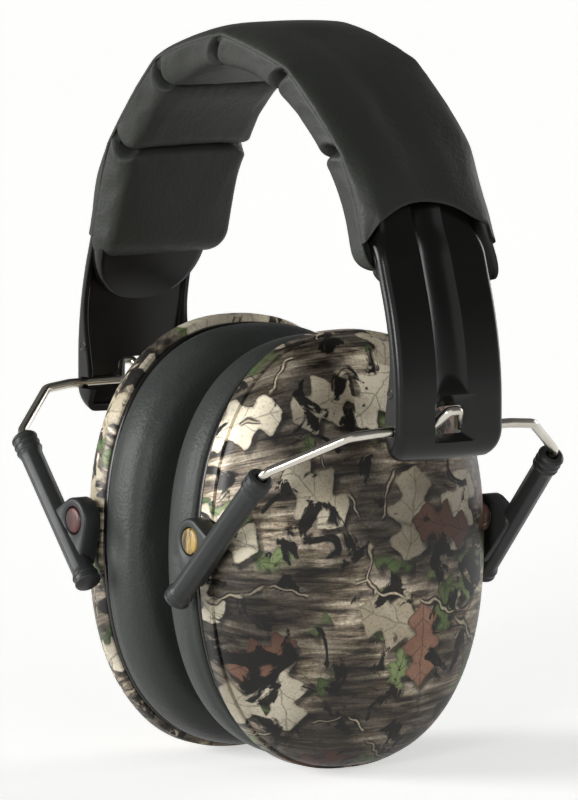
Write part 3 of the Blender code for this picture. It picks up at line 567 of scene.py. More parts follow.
def moulded(name, dark, light, roughness, texture_mm, relief, level):
    """Injection-moulded plastic: an even colour with faint flow clouds, and the fine grit of the mould's
    spark-eroded face, which breaks up the gloss."""
    made, tree, shader, place = new_finish(name)
    flow = clouds(tree, place, PER_METRE / 22.0, 4.0, twist=0.8)
    grit = clouds(tree, place, PER_METRE / texture_mm, 3.0)
    rub = clouds(tree, place, PER_METRE / 6.0, 5.0, 0.7)
    feed(tree, shader, {
        "Base Color": blend(tree, flow, linear(dark), linear(light)),
        "Roughness": vary(tree, rub, roughness - 0.08, roughness + 0.08),
        "Normal": raised(tree, grit, relief, 0.00008),
        "IOR": 1.5,
        "Specular IOR Level": level,
    })
    return made


def nickel_wire(name):
    """Bright nickel plate on drawn spring steel: a mirror broken by faint marks of drawing and bending."""
    made, tree, shader, place = new_finish(name)
    marks = clouds(tree, place, PER_METRE / 1.2, 4.0, 0.65)
    dull = clouds(tree, place, PER_METRE / 9.0, 3.0)
    feed(tree, shader, {
        "Base Color": blend(tree, dull, linear("#b9b2a4"), linear("#dcd8ce")),
        "Roughness": vary(tree, marks, 0.14, 0.32),
        "Normal": raised(tree, marks, 0.12, 0.00005),
        "Metallic": 1.0,
    })
    return made


def foam_finish(name, dark, light):
    """Open-cell polyurethane foam: matt, with pores about a millimetre across whose insides are darkened with painted
    shade.
    """
    made, tree, shader, place = new_finish(name)
    cells = {"Vector": place, "Scale": PER_METRE / 1.1}
    pores = add(tree, "ShaderNodeTexVoronoi", cells, feature="F1").outputs["Distance"]
    # Painted shade: the base colour darkens towards the middle of each pore.
    feed(tree, shader, {
        "Base Color": blend(tree, pores, linear(dark), linear(light)),
        "Normal": raised(tree, pores, 0.7, 0.0005),
        "Roughness": 0.95,
        "Specular IOR Level": 0.15,
    })
    return made


def lobed_blotch(tree, plane, shift, spacing, long, wide, pitch, share):
    """Scattered lobed blotches, each turned its own way: how far inside a blotch a point is in mm, where it
    lies along and across it, and a random colour for the blotch."""
    wave = vectors(tree, "MULTIPLY", clouds(tree, plane, 0.22, 3.0, out="Color"), (2.6, 2.6, 0.0))
    bent = vectors(tree, "ADD", vectors(tree, "ADD", plane, shift), wave)
    scattered = {"Vector": bent, "Scale": 1.0 / spacing, "Randomness": 0.75}
    cells = add(tree, "ShaderNodeTexVoronoi", scattered, voronoi_dimensions="2D")
    local = vectors(tree, "SUBTRACT", bent, cells.outputs["Position"])
    pick = add(tree, "ShaderNodeSeparateColor", {"Color": cells.outputs["Color"]})
    angle = maths(tree, "MULTIPLY", pick.outputs["Red"], math.tau)
    turned = add(tree, "ShaderNodeVectorRotate", {"Vector": local, "Angle": angle}, rotation_type="Z_AXIS")
    place = add(tree, "ShaderNodeSeparateXYZ", {"Vector": turned.outputs["Vector"]})
    along, across = place.outputs["X"], place.outputs["Y"]
    lobes = maths(tree, "COSINE", maths(tree, "MULTIPLY", along, math.tau / pitch))
    lobes = maths(tree, "ADD", maths(tree, "MULTIPLY", lobes, 0.27), 0.73)
    taper = maths(tree, "POWER", maths(tree, "DIVIDE", along, long), 2.0)
    taper = maths(tree, "SQRT", maths(tree, "MAXIMUM", maths(tree, "SUBTRACT", 1.0, taper)))
    body = maths(tree, "MULTIPLY", maths(tree, "MULTIPLY", taper, wide), lobes)
    absent = maths(tree, "GREATER_THAN", pick.outputs["Green"], share)
    inside = maths(tree, "SUBTRACT", body, maths(tree, "ABSOLUTE", across))
    inside = maths(tree, "SUBTRACT", inside, maths(tree, "MULTIPLY", absent, 30.0))
    return inside, along, across, pick.outputs["Blue"]


def camouflage(name, roughness):
    """Printed film on moulded ABS: a woodland camouflage of slanting bark streaks under scattered lobed
    blotches in tan, rust and olive with soft shadows, broken by thin twigs, under a satin lacquer. The film is
    drawn down over the dome, so the print is laid out in mm from the crown of the shell."""
    made, tree, shader, place = new_finish(name)
    spot = add(tree, "ShaderNodeSeparateXYZ", {"Vector": place})
    below = maths(tree, "SUBTRACT", rim_plane() + SHELL_DEPTH, maths(tree, "ABSOLUTE", spot.outputs["X"]))
    height = maths(tree, "SUBTRACT", spot.outputs["Z"], cup_middle())
    flat = add(tree, "ShaderNodeCombineXYZ", {"X": spot.outputs["Y"], "Y": height}).outputs["Vector"]
    away = add(tree, "ShaderNodeVectorMath", {0: flat}, operation="LENGTH").outputs["Value"]
    drawn = maths(tree, "DIVIDE", maths(tree, "MULTIPLY", below, 700.0), maths(tree, "MAXIMUM", away, 0.004))
    wrap = {0: flat, "Scale": maths(tree, "ADD", drawn, PER_METRE)}
    laid = add(tree, "ShaderNodeVectorMath", wrap, operation="SCALE").outputs["Vector"]
    other = maths(tree, "MULTIPLY", maths(tree, "LESS_THAN", spot.outputs["X"], 0.0), 210.0)
    plane = vectors(tree, "ADD", laid, add(tree, "ShaderNodeCombineXYZ", {"X": other}).outputs["Vector"])
    tilt = {"Vector": plane, "Rotation": (0.0, 0.0, math.radians(-24.0)), "Scale": (0.12, 1.0, 1.0)}
    lean = add(tree, "ShaderNodeMapping", tilt).outputs["Vector"]
    streak = clouds(tree, lean, 0.42, 7.0, 0.66, 0.5)
    broad = clouds(tree, plane, 0.034, 2.0)
    cloud = clouds(tree, plane, 0.075, 4.0)
    speck = clouds(tree, plane, 1.1, 5.0, 0.7)
    ground = add(tree, "ShaderNodeValToRGB", {"Fac": streak})
    ramp = ground.color_ramp
    ramp.elements[0].position = 0.32
    ramp.elements[0].color = linear("#17120f")
    ramp.elements[1].position = 0.72
    ramp.elements[1].color = linear("#e6dcc8")
    for position, code in ((0.41, "#4a4036"), (0.50, "#8a7c66"), (0.60, "#b9ad96")):
        ramp.elements.new(position).color = linear(code)
    colour = blend(tree, step_up(tree, cloud, 0.42, 0.66, 0.0, 0.55), ground.outputs["Color"], linear("#968c80"))
    dim = step_up(tree, broad, 0.40, 0.60, 0.34, 1.12)
    colour = blend(tree, 1.0, colour, dim, "MULTIPLY")
    layers = (
        (("#222c18", "#586a3c", "#82905e"), (31.0, 77.0, 0.0), 15.0, 7.4, 4.6, 5.2, 0.66, 0.47),
        (("#665c4c", "#a39880", "#cdc4ae"), (113.0, 19.0, 0.0), 27.0, 12.5, 8.6, 8.4, 0.62, 0.0),
        (("#3a251d", "#785645", "#9a7862"), (57.0, 163.0, 0.0), 33.0, 12.0, 6.8, 7.4, 0.36, 0.0),
    )
    for (deep, middle, pale), shift, spacing, long, wide, pitch, share, region in layers:
        cast = (shift[0] - 1.1, shift[1] + 1.6, 0.0)
        shadow = lobed_blotch(tree, plane, cast, spacing, long, wide, pitch, share)[0]
        inside, along, across, chance = lobed_blotch(tree, plane, shift, spacing, long, wide, pitch, share)
        zone = step_up(tree, broad, region, region + 0.06) if region else 1.0
        dark = maths(tree, "MULTIPLY", step_up(tree, shadow, -1.6, 1.4, 0.0, 0.72), zone)
        colour = blend(tree, dark, colour, linear("#17130f"))
        side = maths(tree, "MULTIPLY", maths(tree, "ABSOLUTE", across), 0.9)
        rib = maths(tree, "PINGPONG", maths(tree, "SUBTRACT", along, side), 0.5 * pitch)
        vein = maths(tree, "MINIMUM", maths(tree, "ABSOLUTE", across), rib)
        lined = step_up(tree, vein, 0.06, 0.36, 0.45, 0.0)
        tone = maths(tree, "ADD", maths(tree, "MULTIPLY", cloud, 1.1), maths(tree, "MULTIPLY", chance, 0.5))
        fill = blend(tree, step_up(tree, tone, 0.45, 1.10), linear(middle), linear(pale))
        fill = blend(tree, step_up(tree, speck, 0.50, 0.74, 0.0, 0.65), fill, linear(deep))
        fill = blend(tree, lined, fill, linear(deep))
        fill = blend(tree, step_up(tree, inside, 0.0, 1.3, 0.45, 0.0), fill, linear(deep))
        cover = maths(tree, "MULTIPLY", step_up(tree, inside, 0.02, 0.22), zone)
        colour = blend(tree, cover, colour, fill)
    hollow = clouds(tree, plane, 0.085, 4.0, 0.6, 0.9)
    colour = blend(tree, step_up(tree, hollow, 0.55, 0.60, 0.0, 0.96), colour, linear("#15120f"))
    sway = vectors(tree, "MULTIPLY", clouds(tree, plane, 0.05, 3.0, out="Color"), (22.0, 22.0, 0.0))
    route = {"Vector": vectors(tree, "ADD", plane, sway), "Scale": 1.0 / 44.0}
    twig = add(tree, "ShaderNodeTexVoronoi", route, voronoi_dimensions="2D", feature="DISTANCE_TO_EDGE")
    twig = twig.outputs["Distance"]
    there = step_up(tree, cloud, 0.46, 0.52)
    dark = maths(tree, "MULTIPLY", step_up(tree, twig, 0.014, 0.026, 0.85, 0.0), there)
    colour = blend(tree, dark, colour, linear("#211b16"))
    bright = maths(tree, "MULTIPLY", step_up(tree, twig, 0.004, 0.011, 0.9, 0.0), there)
    colour = blend(tree, bright, colour, linear("#b3a78f"))
    lit = blend(tree, 1.0, colour, step_up(tree, speck, 0.25, 0.75, 0.84, 1.50), "MULTIPLY")
    glade = clouds(tree, plane, 0.024, 1.0, twist=0.4)
    lit = blend(tree, 1.0, lit, step_up(tree, glade, 0.38, 0.62, 0.62, 1.22), "MULTIPLY")
    grey = add(tree, "ShaderNodeRGBToBW", {"Color": lit}).outputs["Val"]
    lit = add(tree, "ShaderNodeGamma", {"Color": blend(tree, 0.28, lit, grey), "Gamma": 1.35}).outputs["Color"]
    feed(tree, shader, {
        "Base Color": blend(tree, 1.0, lit, (1.7, 1.7, 1.7, 1.0), "MULTIPLY"),
        "Roughness": step_up(tree, cloud, 0.0, 1.0, roughness - 0.06, roughness + 0.08),
        "Normal": raised(tree, speck, 0.06, 0.0001),
        "IOR": 1.5,
        "Specular IOR Level": 0.35,
    })
    return made


def printed_stud(name, dark, light):
    """The same lacquered film drawn over a stud's end, where only a few streaks of it show."""
    made, tree, shader, place = new_finish(name)
    tilt = {"Vector": place, "Rotation": (0.0, math.radians(14.0), 0.0), "Scale": (PER_METRE, PER_METRE, 180.0)}
    streak = clouds(tree, add(tree, "ShaderNodeMapping", tilt).outputs["Vector"], 0.8, 4.0, 0.65)
    share = step_up(tree, streak, 0.40, 0.62)
    feed(tree, shader, {
        "Base Color": blend(tree, share, linear(dark), linear(light)),
        "Roughness": step_up(tree, streak, 0.2, 0.8, 0.28, 0.44),
    })
    return made


# Headband


def panel_share(station):
    """Which of the pad's panels a station is on, and how far along it, counted from the crown outwards."""
    reach = abs(station)
    panel = min(int(reach / PANEL), CREASES_EACH_SIDE)
    end = (panel + 1) * PANEL if panel < CREASES_EACH_SIDE else PAD_END + PAD_CORNER
    return panel, min(1.0, max(0.0, (reach - panel * PANEL) / (end - panel * PANEL)))


def pad_fullness(station):
    """0 in a fold, 1 on the flat of a panel. The edge nearer the crown is tight and the other one rounder."""
    _, share = panel_share(station)
    return (1.0 - abs(2.0 * share - 1.0) ** (FOLD_TIGHT if share < 0.5 else FOLD_ROUND)) ** 0.5


def fold_distance(station):
    return min(abs(abs(station) - k * PANEL) for k in range(CREASES_EACH_SIDE + 1))


def pad_end_round(station):
    into = abs(station) - (PAD_END - PAD_CORNER)
    if into <= 0.0:
        return 0.0
    return PAD_CORNER - math.sqrt(max(0.0, PAD_CORNER**2 - into**2))


def edge_drop(station):
    """How far the stiff panels pull the sewn edge in from a true arch, between two folds."""
    panel = min(int(abs(station) / PANEL), CREASES_EACH_SIDE)
    length = PANEL if panel < CREASES_EACH_SIDE else 1.8 * PANEL
    share = min(1.0, (abs(station) - panel * PANEL) / length)
    return EDGE_FLAT * (1.0 - (2.0 * share - 1.0) ** 2)


def pad_stations(steps):
    """Stations from one end of the pad to the other, closest together at the folds."""
    creases = [k * PANEL for k in range(CREASES_EACH_SIDE + 1)] + [PAD_END]
    positive = []
    for start, end in zip(creases, creases[1:]):
        positive += [start + (0.5 - 0.5 * math.cos(math.pi * k / steps)) * (end - start) for k in range(1, steps + 1)]
    return [-s for s in reversed(positive)] + [0.0] + positive


def pad_line(station, shrink):
    """Half section of the padded skin as (y, height, bow): a flat inner face, a round corner and a side that
    opens into a slit at a fold. bow is how far along the headband the fold's line hangs there."""
    full = pad_fullness(station)
    pull = pad_end_round(station)
    low = FOLD_DEPTH * (1.0 - full) + 0.75 * pull + shrink
    top = PAD_SIDE - edge_drop(station)
    half = 0.5 * PAD_WIDTH
    corner = min(PAD_ROUND, 0.6 * (top - low))
    flat = half - corner
    slit = FOLD_SLIT * hump(fold_distance(station), 0.0013)
    slant = PAD_SLANT * ease((0.02 - station) / 0.04)
    curl = FOLD_LIP * hump(fold_distance(station) - 0.0026, 0.0012)
    hang = FOLD_BOW * (1.0 - ease((abs(station) - (PAD_END - 0.016)) / 0.012))
    fine = [(flat * k / 60.0, low + 0.0003 * (k / 60.0) ** 2) for k in range(60)]
    for k in range(41):
        turn = 0.5 * math.pi * k / 40.0
        y = flat + corner * math.sin(turn) ** 0.85
        fine.append((y, low + 0.0003 + (corner - 0.0003) * (1.0 - math.cos(turn) ** 0.85)))
    fine += [(half, low + corner + (top - low - corner) * k / 40.0) for k in range(1, 41)]
    shaped = []
    for y, height in even(fine, 34):
        rise = (height - low) / (top - low)
        nip = FOLD_PINCH * (1.0 - full) * (1.0 - 0.85 * ease((rise - 0.5) / 0.5))
        nip += slit * math.sin(math.pi * min(1.0, 0.12 + 0.88 * rise)) ** 0.8
        nip += slant * (1.0 - rise) + 0.6 * pull * (1.0 - 0.3 * rise) + shrink * (1.0 - rise**2)
        belly = (0.0004 * full + curl) * math.sin(math.pi * rise)
        bow = 0.9 * math.sin(math.pi * rise**0.8) + 0.5 * (1.0 - rise)
        shaped.append((y - (nip - belly) * (y / half) ** 2, height, hang * bow))
    return shaped


def make_pad(finish):
    stations = pad_stations(22)
    rows = []
    held = []
    for station in stations:
        half = pad_line(station, PAD_SEAM)
        line = mirrored(half)
        wide, top, _ = line[-1]
        back = [(wide - PAD_TURN_IN, top, 0.0), (wide - 0.0012, PAD_DEPTH + 0.0001, 0.0)]
        back += [(wide * share, PAD_DEPTH, 0.0) for share in (0.75, 0.5, 0.25)]
        back += [(0.0, PAD_DEPTH, 0.0)] + flipped(back)
        rows.append([askew(pulled(station) - b, y, h) for y, h, b in line + back])
        fold = 1.0 - pad_fullness(station)
        end = 1.0 if abs(station) > PAD_END - 0.0005 else 0.0
        grip = max(1.0 if fold > 0.6 else 0.0, end)
        held += [max(grip, 1.0 if i < 2 or i > len(line) - 3 else 0.0) for i in range(len(line))]
        held += [1.0] * len(back)
    pad = finished("headband_padding", skin(rows), finish, 75.0)
    fill_with_foam(pad, held, *PAD_FILLING)
    pucker(pad)
    return refined(pad)


def pucker(piece):
    """Small tension wrinkles that run out of each fold along the headband and die away on the panel."""
    creases = [pulled(k * PANEL) - 0.5 * FOLD_BOW for k in range(-CREASES_EACH_SIDE, CREASES_EACH_SIDE + 1)]
    for vert in piece.data.vertices:
        angle = math.atan2(vert.co.x, vert.co.z + ARCH_RADIUS)
        away = min(abs(angle * OUTER_RADIUS - crease) for crease in creases)
        outward = math.hypot(vert.co.x, vert.co.z + ARCH_RADIUS) - ARCH_RADIUS
        fade = hump(away, PUCKER_WIDTH) * ease(away / 0.0012)
        wave = noise.noise(Vector((vert.co.y / 0.0026, outward / 0.0024, angle * OUTER_RADIUS / 0.011)))
        soft = noise.noise(Vector((vert.co.y / 0.011, outward / 0.009, angle * OUTER_RADIUS / 0.013)))
        vert.co -= vert.normal * (PUCKER_DEPTH * fade * (wave + 0.4) + 0.00012 * soft)


def make_band(finish):
    """Spring band with a round tongue at each end, which shows between the pad and the arm. The band sits with
    the sleeve a little towards the far side, so the near tongue is the shorter one."""
    half = 0.5 * BAND_WIDTH
    rows = []
    for (start, length, power, swell), sign in zip(BAND_TONGUES, (-1, 1)):
        along = [math.sin(0.5 * math.pi * k / 24) for k in range(1, 24)] + [0.9999]
        reach = [start * k / 66 for k in range(0 if sign > 0 else 1, 67)]
        run = [(s, 0.0) for s in reach] + [(start + length * f, f) for f in along]
        part = []
        for station, share in run:
            wide = half * (1.0 - share**power) ** (1.0 / power)
            lip = min(0.0004, 0.3 * wide)
            outer = [(wide * k / 8, BAND_OUTER) for k in range(8)]
            outer += [(wide - lip, BAND_OUTER), (wide, BAND_OUTER - lip)]
            thick = swell * ease((station - PAD_END + 0.006) / 0.004) * (1.0 - share**2)
            inner = [(y, BAND_INNER - thick + (BAND_OUTER - h)) for y, h in outer]
            ring = mirrored(outer) + list(reversed(mirrored(inner)))
            part.append([on_path(sign * station if station else 1e-9, y, h) for y, h in ring])
        rows = list(reversed(part)) if sign < 0 else rows + part
    return finished("headband_spring_band", skin(rows), finish, 50.0)


def cover_line(share, inset, front):
    """Half section of the cover: domed at the crown, with a valley between two low ridges further down, then
    a shoulder that runs down on to the pad's side. At the hem the arm fills out the front shoulder."""
    half = 0.5 * PAD_WIDTH + 0.00005 - inset
    lift = ease((abs(share) - 0.66) / 0.34)
    flank = ease((abs(share) - 0.06) / 0.18)
    top = COVER_CROWN + (COVER_HEM - COVER_CROWN) * lift - COVER_FLANK * flank * (1.0 - lift) - inset
    edge = COVER_EDGE - edge_drop(share * HEM_CORNER)
    valley = COVER_VALLEY * flank * (1.0 - 0.6 * lift)
    power = 2.9 + 1.6 * flank + (HEM_SQUARE_FRONT if front else HEM_SQUARE_REAR) * lift
    fine = []
    for k in range(201):
        y = 1.0 - (1.0 - k / 200.0) ** 1.6
        fall = (1.0 - y**power) ** (1.0 / 1.8)
        dip = valley * math.cos(0.5 * math.pi * min(1.0, y / VALLEY_HALF)) ** 2
        fine.append((half * y, edge + (top - edge) * fall - dip))
    fine.append((half, edge - COVER_LAP))
    return even(fine, 37)


def cover_section(share, inset):
    """Section of the cover from its front edge to its rear one."""
    return flipped(cover_line(share, inset, True)[1:]) + cover_line(share, inset, False)


def make_cover(finish):
    """Cover skin with an arched hem over each arm, and a foot on either side that runs down the pad's edge."""
    half = 0.5 * PAD_WIDTH
    shares = [k / 74.0 for k in range(-73, 74)]
    hem = (0.9925, 0.9965, 0.9985, 1.0)
    shares = [-s for s in reversed(hem)] + shares + list(hem)
    rows = []
    for share in shares:
        left = (1.0 - abs(share)) * HEM_CORNER
        rolled = HEM_ROLL * (1.0 - math.sqrt(min(1.0, left / HEM_ROLL_LENGTH)))
        folded = COVER_SKIN + 0.0002 * ease((HEM_FOLD - left) / 0.0006)
        outer = [(y, h - rolled) for y, h in cover_section(share, 0.0)]
        inner = [(y, h + 0.7 * rolled) for y, h in cover_section(share, folded)]
        foot_length, foot_inside = NEAR_FOOT if share > 0.0 else FAR_FOOT
        row = []
        for y, height in outer + list(reversed(inner)):
            across = abs(y) / half
            hem_end = HEM_APEX + HEM_RISE * across**2
            if y > 0.0 and share > 0.0:
                hem_end -= HEM_SHORT * ease((across - 0.55) / 0.45)
            foot = foot_length * ease((across - foot_inside) / (FOOT_OUTSIDE - foot_inside))
            station = abs(share) * (hem_end + foot)
            beyond = ease((station - hem_end + 0.004) / (foot + 0.004))
            height -= 0.8 * max(0.0, height - PAD_SIDE) * beyond * foot / foot_length
            row.append(askew(math.copysign(station, share), y, height))
        rows.append(row)
    cover = finished("headband_cover_skin", skin(rows), finish, 75.0)
    ripple(cover)
    return refined(cover)


def ripple(piece):
    """The slight unevenness of a sewn cover over foam, strongest where a fold tugs at its edge."""
    for vert in piece.data.vertices:
        angle = math.atan2(vert.co.x, vert.co.z + ARCH_RADIUS) * OUTER_RADIUS
        soft = noise.noise(Vector((vert.co.y / 0.012, angle / 0.016, 3.7)))
        tug = noise.noise(Vector((vert.co.y / 0.009, angle / 0.0035, 8.1)))
        edge = ease((abs(vert.co.y) / (0.5 * PAD_WIDTH) - 0.45) / 0.4)
        outward = Vector((vert.co.x, 0.0, vert.co.z + ARCH_RADIUS)).normalized()
        vert.co += outward * (0.00022 * soft + 0.00014 * edge * tug)


# Arms


def arm_line(station):
    """Parts of the arm's channel section at a station, as (y, depth below its outer face): the whole outer face,
    one wall and half of the inner face. Its edges are fuller where it runs in under the hem, which leaves room for
    the arm to spread, and round the curl."""
    curled = max(0.0, (station - CURL_START) / (ARM_END - CURL_START))
    hidden = 1.0 - ease((station - HEM_CORNER + HIDDEN_LEAD) / HIDDEN_RUN)
    half = 0.5 * ARM_WIDTH - CURL_NARROW * curled**2
    fillet = ARM_FILLET + HIDDEN_FILLET * hidden + CURL_FILLET * curled
    deepen = ease((station - BAND_END) / (CURL_START - BAND_END))
    rim = ARM_RIM_TOP + (ARM_RIM_BOTTOM - ARM_RIM_TOP) * deepen
    spread = 0.5 * FLUTE_WIDTH * (1.18 + 0.10 * (station - ARM_TOP) / (ARM_END - ARM_TOP))
    ramp = max(0.0, min(1.0, (WIRE_STATION - FLUTE_ABOVE_WIRE - station) / FLUTE_RAMP)) * FLUTE_DEPTH
    flat = half - fillet
    outer = []
    for k in range(17):
        y = spread * k / 16.0
        outer.append((y, ARM_CROWN * (y / half) ** 2 + min(ramp, FLUTE_DEPTH * (1.0 - (y / spread) ** 2))))
    for k in range(1, 9):
        y = spread + (flat - spread) * k / 8.0
        outer.append((y, ARM_CROWN * (y / half) ** 2))
    start = outer[-1][1]
    for k in range(1, 9):
        turn = 0.5 * math.pi * k / 8.0
        outer.append((flat + fillet * math.sin(turn), start + fillet * (1.0 - math.cos(turn))))
    outer = [(y, depth + ARM_SINK * hidden) for y, depth in outer]
    lip = ARM_LIP
    edge = outer[-1][1]
    rim = max(rim, edge + 2.0 * lip)
    wall = [(half, edge + (rim - lip - edge) * f) for f in (0.25, 0.5, 0.75, 1.0)]
    wall += [(half - 0.3 * lip, rim - 0.3 * lip), (half - lip, rim)]
    inside = half - ARM_WALL
    wall += [(inside + lip, rim), (inside + 0.3 * lip, rim - 0.3 * lip)]
    wall += [(inside, rim - lip), (inside, 0.5 * (rim + ARM_WEB))]
    wall += [(inside, ARM_WEB + 0.0005), (inside - 0.00015, ARM_WEB + 0.00015), (inside - 0.0005, ARM_WEB)]
    inner = [(inside * f, ARM_WEB) for f in (0.85, 0.65, 0.45, 0.25)]
    return mirrored(outer), wall, inner


def arm_ring(side, station):
    outer, wall, inner = arm_line(station)
    ring = outer + wall + inner + [(0.0, ARM_WEB)] + flipped(wall + inner)
    return [on_path(side * station, y, ARM_OUTER - depth) for y, depth in ring]


def make_arm(side, word, finish):
    count = 90
    stations = [ARM_TOP + (CURL_START - ARM_TOP) * k / count for k in range(count)]
    stations += [CURL_START + (ARM_END - CURL_START) * k / 16 for k in range(17)]
    data = bmesh.new()
    tube(data, [[data.verts.new(p) for p in arm_ring(side, s)] for s in stations])
    arm = finished(f"{word}_moulded_arm", data, finish, 35.0)
    for tool in (hinge_gap(side), arm_window(side), wire_notch(side)):
        step = arm.modifiers.new("cut", "BOOLEAN")
        step.operation = "DIFFERENCE"
        step.solver = "EXACT"
        step.object = tool
    tools = [step.object for step in arm.modifiers]
    settled(arm)
    for tool in tools:
        bpy.data.objects.remove(tool, do_unlink=True)
    bevel = arm.modifiers.new("broken_edges", "BEVEL")
    bevel.width = ARM_BEVEL
    bevel.segments = 2
    bevel.limit_method = "ANGLE"
    bevel.angle_limit = math.radians(55.0)
    bevel.use_clamp_overlap = True
    settled(arm)
    mark = bmesh.new()
    mark.from_mesh(arm.data)
    ejector_mark(mark, side)
    mark.to_mesh(arm.data)
    mark.free()
    shaded(arm.data, 21.0)
    return arm


def ejector_mark(data, side):
    """Faint round witness of the mould's ejector pin on the arm's front wall."""
    station = WIRE_STATION - 0.0085
    middle = on_path(side * station, -0.5 * ARM_WIDTH, ARM_OUTER - 0.58 * ARM_RIM_BOTTOM)
    rows = []
    for radius, proud in ((0.00125, -0.0004), (0.00125, 0.00005), (0.0011, 0.00011), (0.00092, 0.00002)):
        ring = [Vector((radius * math.cos(a), -proud, radius * math.sin(a))) for a in circle_turns(36)]
        rows.append([data.verts.new(middle + p) for p in ring])
    made = tube(data, rows)
    data.normal_update()
    bmesh.ops.recalc_face_normals(data, faces=made)


def block(outline, y_low, y_high):
    """Prism with an XZ outline between two Y levels."""
    data = bmesh.new()
    tube(data, [[data.verts.new((x, y, z)) for x, z in outline] for y in (y_low, y_high)])
    return data


def hinge_gap(side):
    """Room in the arm's top edge for the knuckle of the hinge under the hem."""
    reach = 0.5 * KNUCKLE_WIDTH + GAP
    corners = []
    for along, height in ((-0.0030, 0.0), (-0.0030, 1.0), (0.0009, 1.0), (0.0009, 0.0)):
        point = on_path(side * (PIN_STATION + along), 0.0, BAND_OUTER + height * (COVER_HEM - BAND_OUTER))
        corners.append((point.x, point.z))
    return finished("cut_hinge_gap", block(corners, -reach, reach), None)


def wire_seat():
    """Where the yoke swings in the arm on the +X side."""
    point, normal = side_path(WIRE_STATION)
    return point - (ARM_WEB + GAP + WIRE_RADIUS) * normal


def wire_crossing():
    """Where the sprung wire lies in its notches, just below the axis that it swings on."""
    return wire_seat() - Vector((0.0, 0.0, WIRE_SAG))


def arm_window(side):
    """Flared window that the wire's hump leans out through."""
    centre = wire_crossing()
    outer_x = side_path(WIRE_STATION)[0].x
    inner_x = outer_x - ARM_WEB
    depth = outer_x - inner_x
    data = bmesh.new()
    rows = []
    for share in (-2.5, 0.0, 1.0, 1.2):
        flare = max(0.0, share)
        front, rear, top, sill = (
            a + (b - a) * flare for a, b in (WINDOW_FRONT, WINDOW_REAR, WINDOW_TOPS, WINDOW_SILLS)
        )
        row = []
        for first, (edge, level) in enumerate(((rear, top), (front, top), (front, sill), (rear, sill))):
            corner = WINDOW_CORNERS[first]
            inset = -corner if level == top else corner
            for k in range(5):
                turn = 0.5 * math.pi * (first + k / 4)
                y = edge - math.copysign(corner, edge) + corner * math.cos(turn)
                z = centre.z + level + inset + corner * math.sin(turn)
                row.append(data.verts.new((side * (inner_x + share * depth), y, z)))
        rows.append(row)
    tube(data, rows)
    return finished("cut_window", data, None)


def wire_notch(side):
    """Round-ended slot across both walls that the wire lies in."""
    centre = wire_crossing()
    room = WIRE_RADIUS + GAP
    low = centre.x - ARM_RIM_BOTTOM
    outline = [(low, centre.z - room)]
    for k in range(17):
        turn = math.pi * (k / 16 - 0.5)
        outline.append((centre.x + room * math.cos(turn), centre.z + room * math.sin(turn)))
    outline.append((low, centre.z + room))
    return finished("cut_wire_notch", block([(side * x, z) for x, z in outline], -ARM_WIDTH, ARM_WIDTH), None)


# Wire yokes


def rounded_route(corners, steps):
    """Points of a route through corners given as (point, radius), each turned with an arc of its radius."""
    points = [corners[0][0]]
    for (before, _), (corner, radius), (after, _) in zip(corners, corners[1:], corners[2:]):
        back = (before - corner).normalized()
        ahead = (after - corner).normalized()
        half = 0.5 * back.angle(ahead)
        reach = radius / math.tan(half)
        centre = corner + (back + ahead).normalized() * (radius / math.sin(half))
        start = corner + back * reach - centre
        end = corner + ahead * reach - centre
        sweep = start.angle(end)
        for k in range(steps + 1):
            share = k / steps
            near = math.sin((1.0 - share) * sweep)
            far = math.sin(share * sweep)
            points.append(centre + (near * start + far * end) / math.sin(sweep))
    points.append(corners[-1][0])
    return points


def slide_direction(side):
    return Vector((-side * math.sin(LEG_LEAN), 0.0, -math.cos(LEG_LEAN)))


def leg_direction(side, end):
    return slide_direction(side) * math.cos(LEG_SPLAY) + Vector((0.0, end * math.sin(LEG_SPLAY), 0.0))


def sleeve_mouth(side, end):
    seat = wire_seat()
    y = end * (LEG_HALF_SPAN - PIVOT_ALONG * math.tan(LEG_SPLAY))
    return Vector((side * (seat.x - LEG_INWARD), y, seat.z - LEG_DROP))


def pivot_point(side):
    inward = Vector((-side * math.cos(LEG_LEAN), 0.0, math.sin(LEG_LEAN)))
    point = sleeve_mouth(side, 1) + slide_direction(side) * PIVOT_ALONG + inward * PIVOT_OFFSET
    return Vector((point.x, 0.0, point.z))


def node_tree(name, sizes):
    """A new Geometry Nodes tree with a geometry input, named size inputs and a geometry output."""
    tree = bpy.data.node_groups.new(name, "GeometryNodeTree")
    tree.interface.new_socket("Geometry", in_out="INPUT", socket_type="NodeSocketGeometry")
    for label, kind in sizes:
        tree.interface.new_socket(label, in_out="INPUT", socket_type=kind)
    tree.interface.new_socket("Geometry", in_out="OUTPUT", socket_type="NodeSocketGeometry")
    return tree, add(tree, "NodeGroupInput"), add(tree, "NodeGroupOutput")


def ring_curve(tree, sides, radius):
    made = add(tree, "GeometryNodeCurvePrimitiveCircle", {"Resolution": sides, "Radius": radius})
    return made.outputs["Curve"]


def send_out(tree, given, out, geometry):
    """Send geometry out of a tree as a real mesh with its finish on."""
    real = add(tree, "GeometryNodeRealizeInstances", {"Geometry": geometry})
    inputs = {"Geometry": real.outputs["Geometry"], "Material": given.outputs["Finish"]}
    coat = add(tree, "GeometryNodeSetMaterial", inputs)
    tree.links.new(coat.outputs["Geometry"], out.inputs["Geometry"])
    return tree


